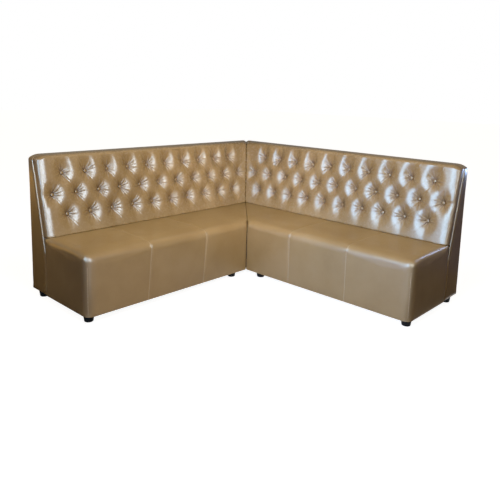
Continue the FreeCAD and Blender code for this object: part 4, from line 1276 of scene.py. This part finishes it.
def studio_floor():
    """A white floor that keeps the sofa's shadow and can be looked through from below."""
    clear_selection()
    bpy.ops.mesh.primitive_plane_add(size=FLOOR_SIZE, location=(0, 0, FLOOR_HEIGHT))
    floor = named("studio_floor")
    material = bpy.data.materials.new("white_floor")
    material.use_nodes = True
    nodes = Nodes(material.node_tree)
    nodes.tree.nodes.clear()
    paint = nodes.add("ShaderNodeBsdfDiffuse", Color=FLOOR_PAINT)
    glow = nodes.add("ShaderNodeEmission", Color=WHITE)
    seen = nodes.add("ShaderNodeMath", operation="MULTIPLY")
    seen.inputs[1].default_value = FLOOR_GLOW
    nodes.join(nodes.sees_backdrop(), seen.inputs[0])
    nodes.join(seen.outputs[0], glow.inputs["Strength"])
    both = nodes.add("ShaderNodeAddShader")
    nodes.join(paint.outputs[0], both.inputs[0])
    nodes.join(glow.outputs[0], both.inputs[1])
    below = nodes.add("ShaderNodeNewGeometry").outputs["Backfacing"]
    clear = nodes.add("ShaderNodeBsdfTransparent").outputs[0]
    out = nodes.add("ShaderNodeOutputMaterial")
    nodes.join(nodes.mix_shaders(below, both.outputs[0], clear), out.inputs["Surface"])
    floor.data.materials.append(material)


def soft_light(name, lights, place, aim, size, power, colour, spread):
    """A soft lamp at its place in the room, turned to its aim. It lights either the gloss or the body."""
    lamp = bpy.data.lights.new(name, "AREA")
    lamp.shape = "RECTANGLE"
    lamp.size, lamp.size_y = size
    lamp.energy = power
    lamp.spread = math.radians(spread)
    lamp.color = colour
    stand = bpy.data.objects.new(name, lamp)
    stand.location = place
    stand.rotation_euler = (Vector(aim) - Vector(place)).to_track_quat("-Z", "Y").to_euler()
    stand.visible_camera = False
    stand.visible_glossy = lights == "gloss"
    stand.visible_diffuse = lights == "body"
    bpy.context.collection.objects.link(stand)


def photo_camera():
    """The camera at the photograph's viewing angle."""
    level = Vector((math.sin(CAMERA_AZIMUTH), -math.cos(CAMERA_AZIMUTH), 0.0))
    back = level * math.cos(CAMERA_PITCH) + Vector((0.0, 0.0, math.sin(CAMERA_PITCH)))
    across = Vector((math.cos(CAMERA_AZIMUTH), math.sin(CAMERA_AZIMUTH), 0.0))
    upright = back.cross(across)
    right = across * math.cos(CAMERA_ROLL) + upright * math.sin(CAMERA_ROLL)
    up = upright * math.cos(CAMERA_ROLL) - across * math.sin(CAMERA_ROLL)
    camera = bpy.data.cameras.new("photo_camera")
    camera.sensor_width = CAMERA_SENSOR
    camera.lens = CAMERA_LENS
    camera.shift_x, camera.shift_y = CAMERA_SHIFT
    stand = bpy.data.objects.new("photo_camera", camera)
    turn = Matrix((right, up, back)).transposed().to_4x4()
    stand.matrix_world = Matrix.Translation(CAMERA_PLACE) @ turn
    bpy.context.collection.objects.link(stand)
    bpy.context.scene.camera = stand


def mat(*spots):
    """Corners of a mat that lies on the floor."""
    return [(*spot, MAT_HEIGHT) for spot in spots]


def upright_screen(start, end, low, high):
    """Corners of a screen that stands between two places, from a low to a high edge."""
    return [(*start, low), (*end, low), (*end, high), (*start, high)]


def studio_screen(name, colour, corners):
    """A dark or glowing screen beside the sofa. It shows only in the gloss of its ends, top and corners."""
    clear_selection()
    bpy.ops.mesh.primitive_plane_add(size=1.0)
    screen = named(name)
    write_points(screen, np.array([corners[0], corners[1], corners[3], corners[2]]))
    finish = Finish(name + "_cloth")
    finish.set(Base_Color=BLACK, Specular_IOR_Level=0.0, Emission_Color=(*colour, 1.0), Emission_Strength=1.0)
    screen.data.materials.append(finish.material)
    screen.visible_camera = False
    screen.visible_diffuse = False
    screen.visible_shadow = False


LEFT_GLOW, RIGHT_GLOW, CORNER_GLOW = (3.2, 1.7, 0.25), (0.02, 0.05, 0.15), (5.0, 5.6, 6.2)
LEFT_SHADE, RIGHT_SHADE, REAR_SHADE = (0.020, 0.012, 0.003), (0.024, 0.028, 0.040), (0.17, 0.25, 0.30)
SCREENS = {
    "left_mat": (LEFT_SHADE, mat((-5, -1.0), (0.1, -1.0), (0.1, -4.6), (-5, -4.6))),
    "left_screen": (LEFT_GLOW, upright_screen((-5, -4.6), (-5, -1.1), 0.15, 1.4)),
    "left_high_screen": (LEFT_SHADE, upright_screen((-5, -4.6), (-5, -1.1), 1.4, 3.5)),
    "left_far_screen": (LEFT_SHADE, upright_screen((-5, -4.6), (-1.2, -4.6), MAT_HEIGHT, 1.4)),
    "right_mat": (RIGHT_SHADE, mat((1.1, 0), (4, 0), (4, 1.7), (1.1, 1.7))),
    "right_far_mat": (RIGHT_GLOW, mat((1.1, 1.7), (4, 1.7), (4, 5.5), (1.1, 5.5))),
    "right_screen": (RIGHT_GLOW, upright_screen((1.1, 5.5), (4, 5.5), MAT_HEIGHT, 1.9)),
    "rear_left_screen": (REAR_SHADE, upright_screen((-1.7, -2), (-1.7, 1.7), 0.8, 2.4)),
    "rear_right_screen": (REAR_SHADE, upright_screen((-1.7, 1.7), (2, 1.7), 0.8, 2.4)),
    "left_strip": (CORNER_GLOW, mat((0.2, -1.5), (0.35, -1.25), (0.9, -1.6), (0.7, -1.9))),
    "right_strip": (CORNER_GLOW, mat((1.22, -0.2), (1.45, -0.1), (1.75, -0.75), (1.45, -0.9))),
}

studio_world()
studio_floor()
for lamp_name, settings in LAMPS.items():
    soft_light(lamp_name, *settings)
for screen_name, (glow_colour, screen_corners) in SCREENS.items():
    studio_screen(screen_name, glow_colour, screen_corners)
photo_camera()
bpy.context.scene.view_settings.view_transform = "Standard"
